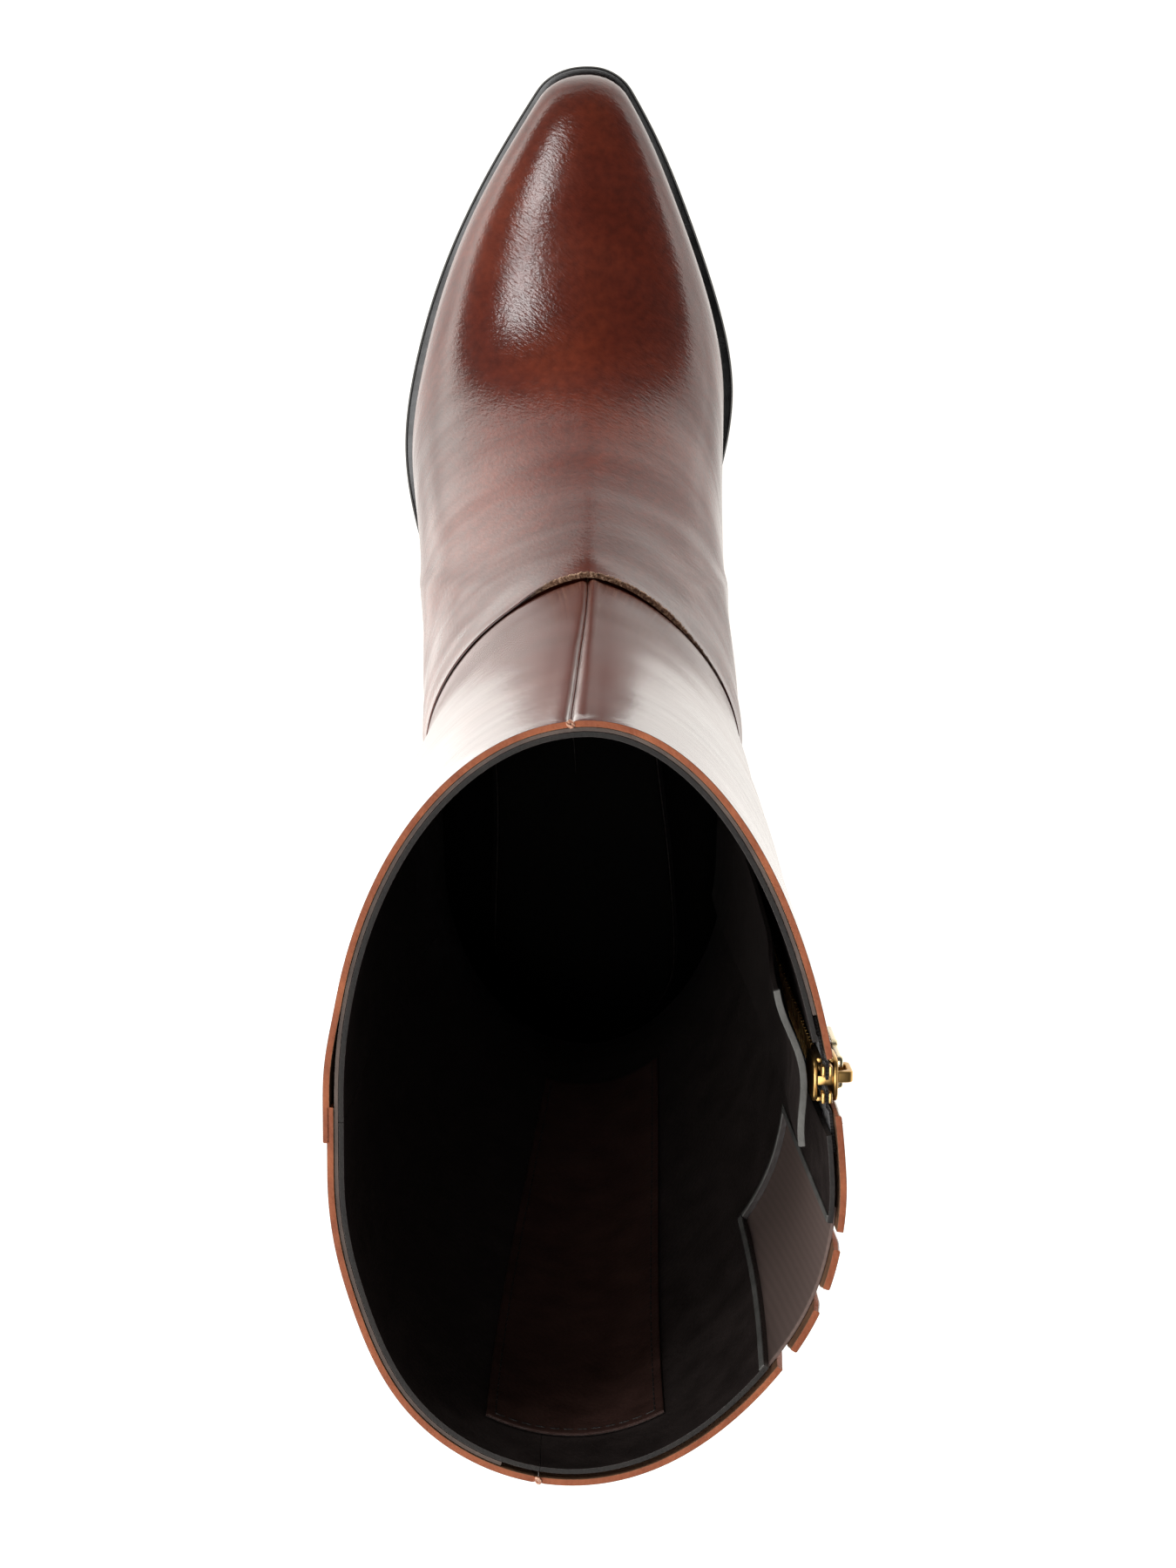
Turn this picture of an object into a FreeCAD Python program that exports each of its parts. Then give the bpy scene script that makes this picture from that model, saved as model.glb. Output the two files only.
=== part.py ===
"""Left tall riding boot with a snipped toe, an inside zip and an elastic calf gore.

Frame: +Z up, toe towards -Y, outer (lateral) side towards +X, inner (medial) side towards -X.
The origin is on the floor, under the middle of the boot's bounding box. Millimetres.

The upper is one smooth surface. A place on it is (turn, level): turn runs once round the boot,
from the front centre over the lateral side to the back and over the medial side to the front
again, and level climbs from the feather edge, where the upper meets the sole, to the topline.
Every leather, lining and stiffener is a thin closed solid between two offsets of that surface.
"""
import FreeCAD
import Part
import math
import os
from bisect import bisect_right

Vector = FreeCAD.Vector

# ---- driving dimensions -------------------------------------------------------------------
TOE_Y = -146.5          # the toe tip; "along" below is the distance behind it
SOLE_LENGTH = 282.0
TOP_Z = 400.0
HEEL_PITCH = 28.5       # rise of the outsole's underside at the heel seat
TOE_SPRING = 8.0
TREAD = (60.0, 108.0)   # stretch of the outsole that lies flat on the floor
HEEL_BREAST = 224.0
OUTSOLE = 4.2           # thicknesses
WELT = 2.1
INSOLE_BOARD = 2.0
SOCK = 2.0
LAYER_GAP = 0.1         # air between pieces that are glued face to face
FEATHER_INSET = 3.0     # the upper stands this far inside the outsole's edge
SEAM_FRONT = 104.0      # level of the ankle seam at the front, and at the back
SEAM_BACK = 82.0
LAP = 7.0               # the shaft's lower edge runs this far under the vamp
LAP_LIFT = 1.75         # and lifts the vamp's upper edge by this much
SIDE_SEAM = 223.0       # along, of the lateral side seam
GIRTH = 400.0           # round the upper, for turning millimetres into turns
SEAT_RISE = OUTSOLE + LAYER_GAP + WELT + LAYER_GAP
TOP_LEVEL = TOP_Z - HEEL_PITCH - SEAT_RISE

# offsets of each layer from the outer surface of the leather: (outside, inside)
LEATHER = (0.0, -1.4)
STIFFENER = (-1.5, -2.2)
MOULDED = (-1.65, -2.05)        # the toe puff and the heel counter
LINING = (-2.3, -3.3)
PATCH = (-3.4, -4.2)

# zip, down the inner side: along at the top and at the ankle seam
ZIP_TOP_ALONG = 216.0
ZIP_FOOT_ALONG = 209.0
ZIP_TOP_Z = 394.0
ZIP_FOOT_Z = 144.0
ZIP_HALF = (39.5, 46.8) # centre plane to the zip, at the ankle seam and at the topline
ZIP_HALF_GAP = 5.4      # leather edge to zip centre
TAPE_HALF = 13.0
TAPE_SLIT = 0.95        # tape's inner edge to zip centre
TAPE = (-1.6, -2.15)    # offsets of the tape from the leather's surface
CHAIN_DEPTH = -1.9      # the chain's mid-plane, below the leather's face
TOOTH_PITCH = 3.0
SLIDER_LENGTH = 15.0
PULL_LENGTH = 25.0      # from its hinge to its tip

# elastic gore behind the zip
GORE = (244.0, 270.5)   # along, at the topline: front edge and rear edge
GORE_SLANT = (0.06, 0.13)       # how far each edge runs forwards for each mm down
GORE_FOOT_LEVEL = TOP_LEVEL - 74.0
GORE_SLIT = 2.6                 # gap beside each leather strip
GORE_LAP = 4.0                  # how far the elastic runs on under the leather


def clamp(x, low=0.0, high=1.0):
    return max(low, min(high, x))


def smooth(x):
    """0 to 1 with no kink and no jump in curvature at either end."""
    x = clamp(x)
    return x * x * x * (x * (6 * x - 15) + 10)


def mix(a, b, k):
    return a + (b - a) * k


def spline(points):
    """Natural cubic spline through (position, value) pairs, held at its end values outside them."""
    x = [p[0] for p in points]
    y = [p[1] for p in points]
    last = len(x) - 1
    upper = [0.0] * (last + 1)
    right = [0.0] * (last + 1)
    for i in range(1, last):
        before, after = x[i] - x[i - 1], x[i + 1] - x[i]
        bend = 6 * ((y[i + 1] - y[i]) / after - (y[i] - y[i - 1]) / before)
        pivot = 2 * (before + after) - before * upper[i - 1]
        upper[i] = after / pivot
        right[i] = (bend - before * right[i - 1]) / pivot
    curve = [0.0] * (last + 1)
    for i in range(last - 1, 0, -1):
        curve[i] = right[i] - upper[i] * curve[i + 1]

    def value(at):
        at = clamp(at, x[0], x[-1])
        i = min(max(bisect_right(x, at) - 1, 0), last - 1)
        span = x[i + 1] - x[i]
        a, b = (x[i + 1] - at) / span, (at - x[i]) / span
        bow = ((a ** 3 - a) * curve[i] + (b ** 3 - b) * curve[i + 1]) * span * span / 6
        return a * y[i] + b * y[i + 1] + bow

    return value


# ---- outlines: a few points each, (along, value) or (level, value) -------------------------
LATERAL, MEDIAL = 1, -1

SOLE_EDGE = {
    LATERAL: spline([(0, 10.2), (24, 25.6), (53, 40.2), (84, 49.8), (109, 52.8), (131, 49.4),
                     (152, 43), (178, 36), (205, 33), (235, 33.5), (282, 34)]),
    MEDIAL: spline([(0, 8.6), (18, 18.9), (40, 28.4), (63, 36.4), (92, 41.8), (114, 38.6),
                    (135, 32.5), (160, 27), (185, 26), (212, 29), (240, 31.5), (282, 32)]),
}
BODY_HALF = {
    LATERAL: spline([(0, 8), (24, 23.2), (53, 37.5), (84, 46.6), (109, 49.6), (131, 47),
                     (152, 44.5), (178, 42.5), (205, 41), (235, 39), (282, 37)]),
    MEDIAL: spline([(0, 6.6), (18, 16.6), (40, 26), (63, 33.6), (92, 38.2), (114, 37.8),
                    (135, 37.5), (160, 37.5), (185, 38.3), (212, 38.5), (240, 37.5), (282, 36)]),
}
LATERAL_SHAFT = spline([(0, 41), (90, 41.5), (180, 44.5), (270, 47.4), (TOP_LEVEL, 49)])
FRONT_ROUND = {
    LATERAL: spline([(0, 48), (60, 48), (150, 52), (264, 60), (TOP_LEVEL, 72)]),
    MEDIAL: spline([(0, 48), (60, 48), (150, 55), (264, 70), (TOP_LEVEL, 97)]),
}
BACK_ROUND = {
    LATERAL: spline([(0, 33), (40, 37), (90, 54), (200, 60), (TOP_LEVEL, 60)]),
    MEDIAL: spline([(0, 32), (40, 37), (90, 52), (200, 58), (TOP_LEVEL, 60)]),
}
CALF_LEAN = 3.0         # the back of the calf leans outwards by this much at the topline
BACK_LINE = spline([(0, 279), (12, 281.6), (28, 282), (48, 277.5), (72, 268), (100, 261.5),
                    (130, 261), (170, 265.5), (220, 274), (270, 283.5), (320, 290.5),
                    (TOP_LEVEL, 293)])
# the front centre line as (along, level): toe wall, toe box, instep and shin
FRONT_POINTS = [(3, 0), (3.3, 8), (5.6, 14.5), (11, 20.5), (22, 26.5), (40, 32.5), (62, 38),
                (84, 45.5), (103, 58.2), (118, 72.5), (129.5, 87.5), (136.5, 101.5),
                (139.8, 120), (141.5, 150), (143, 200), (145.2, 290), (147.2, TOP_LEVEL)]
# The vamp's cross-section: how square its shoulders are at the toe and at the instep, and
# how full the arch between them is.
DOME_POWER = (6.0, 5.6)
DOME_ROUND = 0.68
TOE_CORNER = 6.5


def front_line(samples=1500):
    """The front centre line as two rising lists, along and level."""
    walked = [0.0]
    for a, b in zip(FRONT_POINTS, FRONT_POINTS[1:]):
        walked.append(walked[-1] + math.dist(a, b))
    along_at = spline([(w, p[0]) for w, p in zip(walked, FRONT_POINTS)])
    level_at = spline([(w, p[1]) for w, p in zip(walked, FRONT_POINTS)])
    steps = [walked[-1] * i / samples for i in range(samples + 1)]
    alongs, levels = [along_at(s) for s in steps], [level_at(s) for s in steps]
    for i in range(1, samples + 1):
        alongs[i] = max(alongs[i], alongs[i - 1] + 1e-6)
        levels[i] = max(levels[i], levels[i - 1] + 1e-6)
    return steps, alongs, levels


FRONT_STEPS, FRONT_ALONGS, FRONT_LEVELS = front_line()


def look_up(keys, values, key):
    i = min(max(bisect_right(keys, key) - 1, 0), len(keys) - 2)
    return mix(values[i], values[i + 1], clamp((key - keys[i]) / (keys[i + 1] - keys[i])))


def ground(along):
    """Height of the outsole's underside."""
    if along < TREAD[0]:
        return TOE_SPRING * ((TREAD[0] - along) / TREAD[0]) ** 2
    return HEEL_PITCH * smooth((along - TREAD[1]) / (HEEL_BREAST - 2 - TREAD[1]))


def quarter(reach):
    """Height of a unit quarter circle, reach 0 at its foot and 1 at its top."""
    return math.sqrt(max(0.0, 1 - (1 - clamp(reach)) ** 2))


def zip_along(level):
    """The zip's centre line is straight, seen from the side and from the front."""
    z = level + HEEL_PITCH + SEAT_RISE
    return mix(ZIP_FOOT_ALONG, ZIP_TOP_ALONG, (z - ZIP_FOOT_Z) / (ZIP_TOP_Z - ZIP_FOOT_Z))


def shaft_rounding(side, along, level):
    """Share of the shaft's full half width left beside its front and its back."""
    front = look_up(FRONT_LEVELS, FRONT_ALONGS, level)
    shin = 1 - (1 - clamp((along - front) / FRONT_ROUND[side](level))) ** 2
    sharpness = mix(0.65, 0.50, smooth((level - 90) / 200))
    return shin, sharpness, quarter((BACK_LINE(level) - along) / BACK_ROUND[side](level))


def shaft_half(side, level):
    """Half width of the shaft; on the inner side it is what keeps the zip straight."""
    if side == LATERAL:
        return LATERAL_SHAFT(level)
    at_zip = mix(*ZIP_HALF, (level - SEAM_FRONT) / (TOP_LEVEL - SEAM_FRONT))
    shin, sharpness, calf = shaft_rounding(side, zip_along(level), level)
    return at_zip / (shin ** sharpness * calf)


def half_width(side, along, level):
    """From the centre plane to the upper's outer surface."""
    ridge = look_up(FRONT_ALONGS, FRONT_LEVELS, along)
    width = mix(SOLE_EDGE[side](along) - FEATHER_INSET, BODY_HALF[side](along), smooth(level / 30))
    width = mix(width, shaft_half(side, max(level, 60)), smooth((level - 45) / 70))
    corner = clamp((along - FEATHER_INSET) / TOE_CORNER)
    width *= (1 - (1 - corner) ** 2.4) ** (1 / 2.4)
    power = mix(*DOME_POWER, smooth(along / 90))
    dome = 1 - clamp(level / max(ridge, 1e-6)) ** power
    shin, sharpness, calf = shaft_rounding(side, along, level)
    upright = smooth((level - 50) / 55)
    opened = max(0.0, mix(dome, shin, upright)) ** mix(DOME_ROUND, sharpness, upright)
    return width * opened * calf


def lean(along, level):
    """Sideways shift of the calf's back."""
    back = BACK_LINE(level)
    return CALF_LEAN * smooth(level / TOP_LEVEL) * smooth((along - back + 43) / 43)


class Ring:
    """The upper's outline at one level, with places on it given as a turn of 0 to 1."""

    def __init__(self, level, samples=90):
        start, end = look_up(FRONT_LEVELS, FRONT_ALONGS, level), BACK_LINE(level)
        self.alongs = [mix(start, end, (1 - math.cos(math.pi * i / samples)) / 2)
                       for i in range(samples + 1)]
        sides = {s: [s * half_width(s, a, level) + lean(a, level) for a in self.alongs]
                 for s in (LATERAL, MEDIAL)}
        for xs in sides.values():
            xs[0], xs[-1] = 0.0, lean(end, level)
        self.points = list(zip(sides[LATERAL], self.alongs))
        self.points += list(zip(sides[MEDIAL], self.alongs))[-2::-1]
        walked = [0.0]
        for a, b in zip(self.points, self.points[1:]):
            walked.append(walked[-1] + math.dist(a, b))
        self.turns = [w / walked[-1] for w in walked]
        self.half = samples

    def at(self, turn):
        turn %= 1.0
        i = min(max(bisect_right(self.turns, turn) - 1, 0), len(self.turns) - 2)
        k = clamp((turn - self.turns[i]) / (self.turns[i + 1] - self.turns[i]))
        a, b = self.points[i], self.points[i + 1]
        return mix(a[0], b[0], k), mix(a[1], b[1], k)

    def turn_of(self, side, along):
        i = min(max(bisect_right(self.alongs, along) - 1, 0), self.half - 1)
        k = clamp((along - self.alongs[i]) / (self.alongs[i + 1] - self.alongs[i]))
        if side == LATERAL:
            return mix(self.turns[i], self.turns[i + 1], k)
        return mix(self.turns[-1 - i], self.turns[-2 - i], k)


RING_LEVELS = ([0.5 * i for i in range(120)] + [60 + 1.0 * i for i in range(60)]
               + [120 + (TOP_LEVEL - 120) * i / 60 for i in range(61)])
RINGS = [Ring(level) for level in RING_LEVELS]


def ring_below(level):
    i = min(max(bisect_right(RING_LEVELS, level) - 1, 0), len(RINGS) - 2)
    return i, clamp((level - RING_LEVELS[i]) / (RING_LEVELS[i + 1] - RING_LEVELS[i]))


def seam_level(turn):
    return mix(SEAM_BACK, SEAM_FRONT, (1 + math.cos(2 * math.pi * turn)) / 2)


def true_level(turn, level):
    """Levels follow the tilt of the ankle seam: SEAM_FRONT is the seam all the way round."""
    seam = seam_level(turn)
    if level <= SEAM_FRONT:
        return level * seam / SEAM_FRONT
    return TOP_LEVEL - (TOP_LEVEL - level) * (TOP_LEVEL - seam) / (TOP_LEVEL - SEAM_FRONT)


def place(turn, level):
    """Point on the leather's outer surface."""
    level = true_level(turn, level)
    i, k = ring_below(level)
    low, high = RINGS[i].at(turn), RINGS[i + 1].at(turn)
    x, along = mix(low[0], high[0], k), mix(low[1], high[1], k)
    rise = mix(ground(along), HEEL_PITCH, smooth(level / 120)) + SEAT_RISE
    return Vector(x, along + TOE_Y, level + rise)


def skin(turn, level, offset):
    """Point at an offset from the outer surface, positive outwards."""
    low, high = max(level - 0.8, 0.0), min(level + 0.8, TOP_LEVEL)
    round_about = place(turn + 0.003, level) - place(turn - 0.003, level)
    upwards = place(turn, high) - place(turn, low)
    return place(turn, level) + round_about.cross(upwards).normalize() * offset


def turn_at(side, along, level):
    """The turn at which the surface at this level stands at a given distance behind the toe."""
    turn = 0.25 if side == LATERAL else 0.75
    for _ in range(4):
        i, k = ring_below(true_level(turn, level))
        turn = mix(RINGS[i].turn_of(side, along), RINGS[i + 1].turn_of(side, along), k)
    return turn


def back_turn(level):
    i, k = ring_below(level)
    return mix(RINGS[i].turns[RINGS[i].half], RINGS[i + 1].turns[RINGS[i + 1].half], k)


# ---- seams: each gives a turn for a level --------------------------------------------------
def side_seam(level):
    return turn_at(LATERAL, SIDE_SEAM, level)


def front_seam(level):
    return 0.0085 * smooth((level - SEAM_FRONT) / (TOP_LEVEL - SEAM_FRONT))


def back_seam(level):
    return back_turn(level) - 0.017 * smooth((level - SEAM_FRONT) / (TOP_LEVEL - SEAM_FRONT))


def vamp_edge(side):
    """The vamp's rear edge, from the sole to the ankle seam."""
    return lambda level: turn_at(side, 168.0 + 37.0 * level / SEAM_FRONT, level)


def beside_zip(distance):
    """A line this far behind the zip's centre, or before it if negative."""
    return lambda level: turn_at(MEDIAL, zip_along(true_level(0.72, level)) + distance, level)


def gore_line(share):
    """A line down the gore, from 0 at its front edge to 1 at its rear edge."""
    slant = mix(*GORE_SLANT, share)
    return lambda level: turn_at(MEDIAL, mix(*GORE, share) - slant * (TOP_LEVEL - level), level)


def moved(line, distance):
    """A line moved round the boot by about this many millimetres."""
    return lambda level: line(level) + distance / GIRTH


def turned(line, turns):
    """The same line, counted this many whole turns on."""
    return lambda level: line(level) + turns


# ---- making a thin solid -------------------------------------------------------------------
def curve_data(points):
    """Poles, multiplicities, knots and degree of the curve through evenly timed points."""
    curve = Part.BSplineCurve()
    last = len(points) - 1
    curve.interpolate(Points=points, Parameters=[i / last for i in range(last + 1)])
    return curve.getPoles(), curve.getMultiplicities(), curve.getKnots(), curve.Degree


def surface_data(grid):
    """Poles of the surface through a grid of points, with the data of its two directions."""
    columns = []
    for row in zip(*grid):
        poles, mults_u, knots_u, degree_u = curve_data(list(row))
        columns.append(poles)
    poles = []
    for line in zip(*columns):
        row, mults_v, knots_v, degree_v = curve_data(list(line))
        poles.append(row)
    return poles, (mults_u, knots_u, degree_u), (mults_v, knots_v, degree_v)


def surface_face(poles, along_u, along_v):
    surface = Part.BSplineSurface()
    surface.buildFromPolesMultsKnots(poles, along_u[0], along_v[0], along_u[1], along_v[1],
                                     False, False, along_u[2], along_v[2])
    return surface.toShape()


def thin_solid(grid_out, grid_in):
    """Closed solid between two point grids of the same size."""
    outside, along_u, along_v = surface_data(grid_out)
    inside = surface_data(grid_in)[0]
    straight = ([2, 2], [0.0, 1.0], 1)
    faces = [surface_face(outside, along_u, along_v), surface_face(inside, along_u, along_v)]
    for end in (0, -1):
        faces.append(surface_face([outside[end], inside[end]], straight, along_v))
        rims = [[row[end] for row in outside], [row[end] for row in inside]]
        faces.append(surface_face(rims, straight, along_u))
    shell = Part.makeShell(faces)
    shell.sewShape(0.001)
    solid = Part.makeSolid(shell)
    if solid.Volume < 0:
        solid.reverse()
    return solid


def spread(count, crowd=1.0):
    """count + 1 shares from 0 to 1, crowded towards the middle if crowd is over 1."""
    even = [2 * i / count - 1 for i in range(count + 1)]
    return [(1 + math.copysign(abs(e) ** crowd, e)) / 2 for e in even]


def panel(start, end, levels, layer, columns=20, crowd=1.0, lift=None):
    """Thin solid from line start to line end, between two offsets, through the given levels."""
    grids = ([], [])
    for share in spread(columns, crowd):
        rows = ([], [])
        for level in levels:
            turn = mix(start(level), end(level), share)
            raised = lift(turn, level) if lift else 0.0
            for row, offset in zip(rows, layer):
                row.append(skin(turn, level, offset + raised))
        for grid, row in zip(grids, rows):
            grid.append(row)
    return thin_solid(*grids)


def even_levels(low, high, count):
    return [mix(low, high, i / count) for i in range(count + 1)]


def graded_levels(low, high, count):
    """Levels that stand closer together near the low end, where the ankle bends."""
    steps = [i / count for i in range(count + 1)]
    return [mix(low, high, 0.35 * s + 0.65 * s * s) for s in steps]


def front_levels(high, count):
    """Levels evenly spaced along the front centre line, up to a level."""
    reach = look_up(FRONT_LEVELS, FRONT_STEPS, high)
    return [look_up(FRONT_STEPS, FRONT_LEVELS, reach * i / count) for i in range(count + 1)]


def ankle_lift(_turn, level):
    """The vamp and counter rise over the shaft's lower edge."""
    return LAP_LIFT * smooth((level - (SEAM_FRONT - LAP - 12)) / 10)


def side_lift(turn, level):
    """The front shaft panel rises over the rear one at the lateral side seam."""
    return LAP_LIFT * smooth((turn - side_seam(level)) * GIRTH / 12 + 1.7)


def counter_lift(turn, level):
    """The counter rises over the shaft, and again over the foot of the side seam."""
    past_seam = (turn - side_seam(level)) * GIRTH
    hump = side_lift(turn, level) * (1 - smooth((past_seam - 6) / 10)) / LAP_LIFT
    return ankle_lift(turn, level) * (1 + hump)


# ---- making the flat bottom parts ----------------------------------------------------------
def sole_half(side, along):
    """Half width of the outsole, rounded off at the toe's corners and at the heel."""
    corner = clamp(along / TOE_CORNER)
    width = SOLE_EDGE[side](along) * (1 - (1 - corner) ** 2.4) ** (1 / 2.4)
    return width * quarter((SOLE_LENGTH - along) / SOLE_EDGE[side](SOLE_LENGTH))


def plan(inset, start=0.0, end=SOLE_LENGTH, samples=26):
    """Closed outline of the sole seen from above, set in by a distance."""
    shares = [(1 - math.cos(math.pi * i / samples)) / 2 for i in range(samples + 1)]
    points = []
    for side, order in ((LATERAL, shares), (MEDIAL, shares[-2:0:-1])):
        for share in order:
            along = mix(start, end, share)
            points.append((side * sole_half(side, along), along + TOE_Y))
    moved_in = []
    for i, (x, y) in enumerate(points):
        before, after = points[i - 1], points[(i + 1) % len(points)]
        dx, dy = after[0] - before[0], after[1] - before[1]
        size = math.hypot(dx, dy)
        moved_in.append(Vector(x - inset * dy / size, y + inset * dx / size, 0))
    curve = Part.BSplineCurve()
    curve.interpolate(moved_in, True)
    return curve


def profile(height):
    """The sole's side view at a height above ground(): toe spring, flat tread and heel pitch."""
    edges = []
    for start, end, count in ((-10.0, TREAD[0], 12), (*TREAD, 1), (TREAD[1], 290.0, 30)):
        alongs = even_levels(start, end, count)
        points = [Vector(-90, a + TOE_Y, ground(max(a, 0.0)) + height) for a in alongs]
        if count == 1:
            edges.append(Part.makeLine(*points))
            continue
        curve = Part.BSplineCurve()
        curve.interpolate(points)
        edges.append(curve.toShape())
    return edges


def plate(inset, low, high):
    """A sole layer: the outline set in, between two heights above ground(along)."""
    prism = Part.Face(Part.Wire(plan(inset).toShape())).extrude(Vector(0, 0, 120))
    prism.translate(Vector(0, 0, -20))
    lower, upper = profile(low), profile(high)
    ends = [Part.makeLine(lower[i].Vertexes[i].Point, upper[i].Vertexes[i].Point)
            for i in (0, -1)]
    wire = Part.Wire(Part.__sortEdges__(lower + upper + ends))
    return prism.common(Part.Face(wire).extrude(Vector(180, 0, 0))).Solids[0]


def block(x, along, z):
    """A box from ranges across, along and up."""
    box = Part.makeBox(x[1] - x[0], along[1] - along[0], z[1] - z[0])
    box.translate(Vector(x[0], along[0] + TOE_Y, z[0]))
    return box


def rod(radius, x, along, low, high):
    return Part.makeCylinder(radius, high - low, Vector(x, along + TOE_Y, low))


# ---- the sub-parts -------------------------------------------------------------------------
def insole_parts():
    board = SEAT_RISE + LAYER_GAP
    sock = board + INSOLE_BOARD + LAYER_GAP
    parts = {
        "outsole": plate(0.0, 0.0, OUTSOLE),
        "insole_board": plate(7.2, board, board + INSOLE_BOARD),
        "sock_lining": plate(7.6, sock, sock + SOCK),
    }
    low, high = OUTSOLE + LAYER_GAP, OUTSOLE + LAYER_GAP + WELT
    ring = plate(0.0, low, high).cut(plate(9.0, low - 3, high + 3))
    parts["welt"] = ring.cut(block((-90, 90), (HEEL_BREAST, 400), (-10, 90))).Solids[0]
    parts["heel_rand"] = ring.cut(block((-90, 90), (-40, HEEL_BREAST + 0.2), (-10, 90))).Solids[0]
    fill = plate(9.3, low, high)
    parts["cork_filler"] = fill.common(block((-90, 90), (0, 128), (-10, 90))).Solids[0]
    waist = fill.common(block((-90, 90), (128.5, 300), (-10, 90))).Solids[0]
    slot = block((-8.6, 6.6), (139.5, 250.5), (-10, 90))
    parts["shank_board"] = waist.cut(slot).Solids[0]
    parts["steel_shank"] = fill.common(block((-8, 6), (140, 250), (-10, 90))).Solids[0]
    return parts


HEEL_SPREAD = 2.4       # how much narrower the heel is at the floor than at the seat
TOP_PIECE = 5.5
LIFTS = 4
HEEL_CENTRE = (0.5, 252.0)


def heel_outline(z):
    """Closed D-shaped wire: the rounded back and the breast, at height z."""
    inset = 0.4 + HEEL_SPREAD * (1 - z / HEEL_PITCH) ** 1.3
    breast = HEEL_BREAST + inset
    count = 15
    points = []
    for i in range(2 * count + 1):
        side = LATERAL if i <= count else MEDIAL
        share = 1 - abs(i - count) / count
        along = mix(breast, SOLE_LENGTH - inset, math.sin(math.pi * share / 2))
        full = SOLE_EDGE[side](SOLE_LENGTH)
        reach = quarter((SOLE_LENGTH - inset - along) / (full - inset))
        half = (SOLE_EDGE[side](along) - inset) * reach
        points.append(Vector(side * half, along + TOE_Y, z))
    curve = Part.BSplineCurve()
    curve.interpolate(points)
    front = Part.Arc(points[0], Vector(0.5, breast + 4.0 + TOE_Y, z), points[-1])
    return Part.Wire([curve.toShape(), front.toShape()])


def heel_layer(low, high):
    return Part.makeLoft([heel_outline(low), heel_outline(high)], True, True)


NAIL_RADIUS = 1.3
SCREW_RADIUS = 2.1


def nail_places():
    x, along = HEEL_CENTRE
    return [(x + 15 * math.cos(a), along + 13 * math.sin(a))
            for a in (math.pi * (0.1 + 0.4 * i) for i in range(5))]


def pin_places():
    x, along = HEEL_CENTRE
    return [(x + dx, along + da) for dx, da in ((-20, -16), (20, -16), (-13, 17), (14, 17))]


def heel_parts():
    parts = {"heel_top_piece": heel_layer(0.0, TOP_PIECE)}
    step = (HEEL_PITCH - LAYER_GAP - TOP_PIECE) / LIFTS
    for i in range(LIFTS):
        low = TOP_PIECE + step * i
        parts[f"heel_lift_{i + 1}"] = heel_layer(low + 0.05, low + step - 0.05)
    return parts


def fix_heel(parts):
    """Nails, a screw and top-piece pins, with holes cut for them."""
    board_top = HEEL_PITCH + SEAT_RISE + LAYER_GAP + INSOLE_BOARD
    nails = [rod(NAIL_RADIUS, x, a, 9.0, board_top + 0.05) for x, a in nail_places()]
    screw = rod(SCREW_RADIUS, *HEEL_CENTRE, 12.0, board_top + 0.05)
    pins = [rod(1.2, x, a, 0.0, 11.0) for x, a in pin_places()]
    holes = [rod(NAIL_RADIUS + 0.02, x, a, 8.98, 60) for x, a in nail_places()]
    holes += [rod(SCREW_RADIUS + 0.02, *HEEL_CENTRE, 11.98, 60)]
    holes += [rod(1.22, x, a, -1, 11.02) for x, a in pin_places()]
    for name in list(parts):
        if name.startswith("heel_") or name in ("outsole", "insole_board", "shank_board",
                                                "steel_shank"):
            for hole in holes:
                if parts[name].BoundBox.intersect(hole.BoundBox):
                    parts[name] = parts[name].cut(hole).Solids[0]
    parts["heel_nails"] = Part.makeCompound(nails)
    parts["heel_screw"] = screw
    parts["top_piece_pins"] = Part.makeCompound(pins)
    return parts


def foot_parts():
    seam = front_levels(SEAM_FRONT, 28)
    low = even_levels(0.0, SEAM_FRONT, 12)
    lining_top = SEAM_FRONT - LAP - 3
    vamp_low, vamp_high = vamp_edge(MEDIAL), vamp_edge(LATERAL)
    joint = 0.35

    toe = front_levels(32.0, 16)
    counter_front = {s: (lambda level, s=s: turn_at(s, 222.0 + 0.25 * level, level))
                     for s in (LATERAL, MEDIAL)}
    return {
        "vamp": panel(moved(turned(vamp_low, -1), joint), moved(vamp_high, -joint), seam, LEATHER,
                      46, 1.35, ankle_lift),
        "counter_cover": panel(moved(vamp_high, joint), moved(vamp_low, -joint), low, LEATHER,
                               34, 1.0, counter_lift),
        "toe_puff": panel(lambda level: turn_at(MEDIAL, 46, level) - 1.0,
                          lambda level: turn_at(LATERAL, 46, level), toe, MOULDED, 34, 1.3),
        "heel_counter": panel(counter_front[LATERAL], counter_front[MEDIAL],
                              even_levels(0.5, 66.0, 8), MOULDED, 24),
        "vamp_lining": panel(moved(turned(vamp_low, -1), joint), moved(vamp_high, -joint),
                             front_levels(lining_top, 26), LINING, 42, 1.3),
        "heel_lining": panel(moved(vamp_high, joint), moved(vamp_low, -joint),
                             even_levels(0.0, lining_top, 8), LINING, 22),
    }


def gore_cutter(layer, margin):
    """A solid over the gore's window, to cut it out of a panel."""
    levels = even_levels(GORE_FOOT_LEVEL - margin, TOP_LEVEL, 5)
    body = panel(moved(gore_line(0.0), margin), moved(gore_line(1.0), -margin), levels,
                 layer, 6)
    lip = panel(moved(gore_line(0.0), margin), moved(gore_line(1.0), -margin),
                even_levels(TOP_LEVEL - 1, TOP_LEVEL, 1), layer, 1)
    lip.translate(Vector(0, 0, 0.9))
    return body.fuse(lip)


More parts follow.
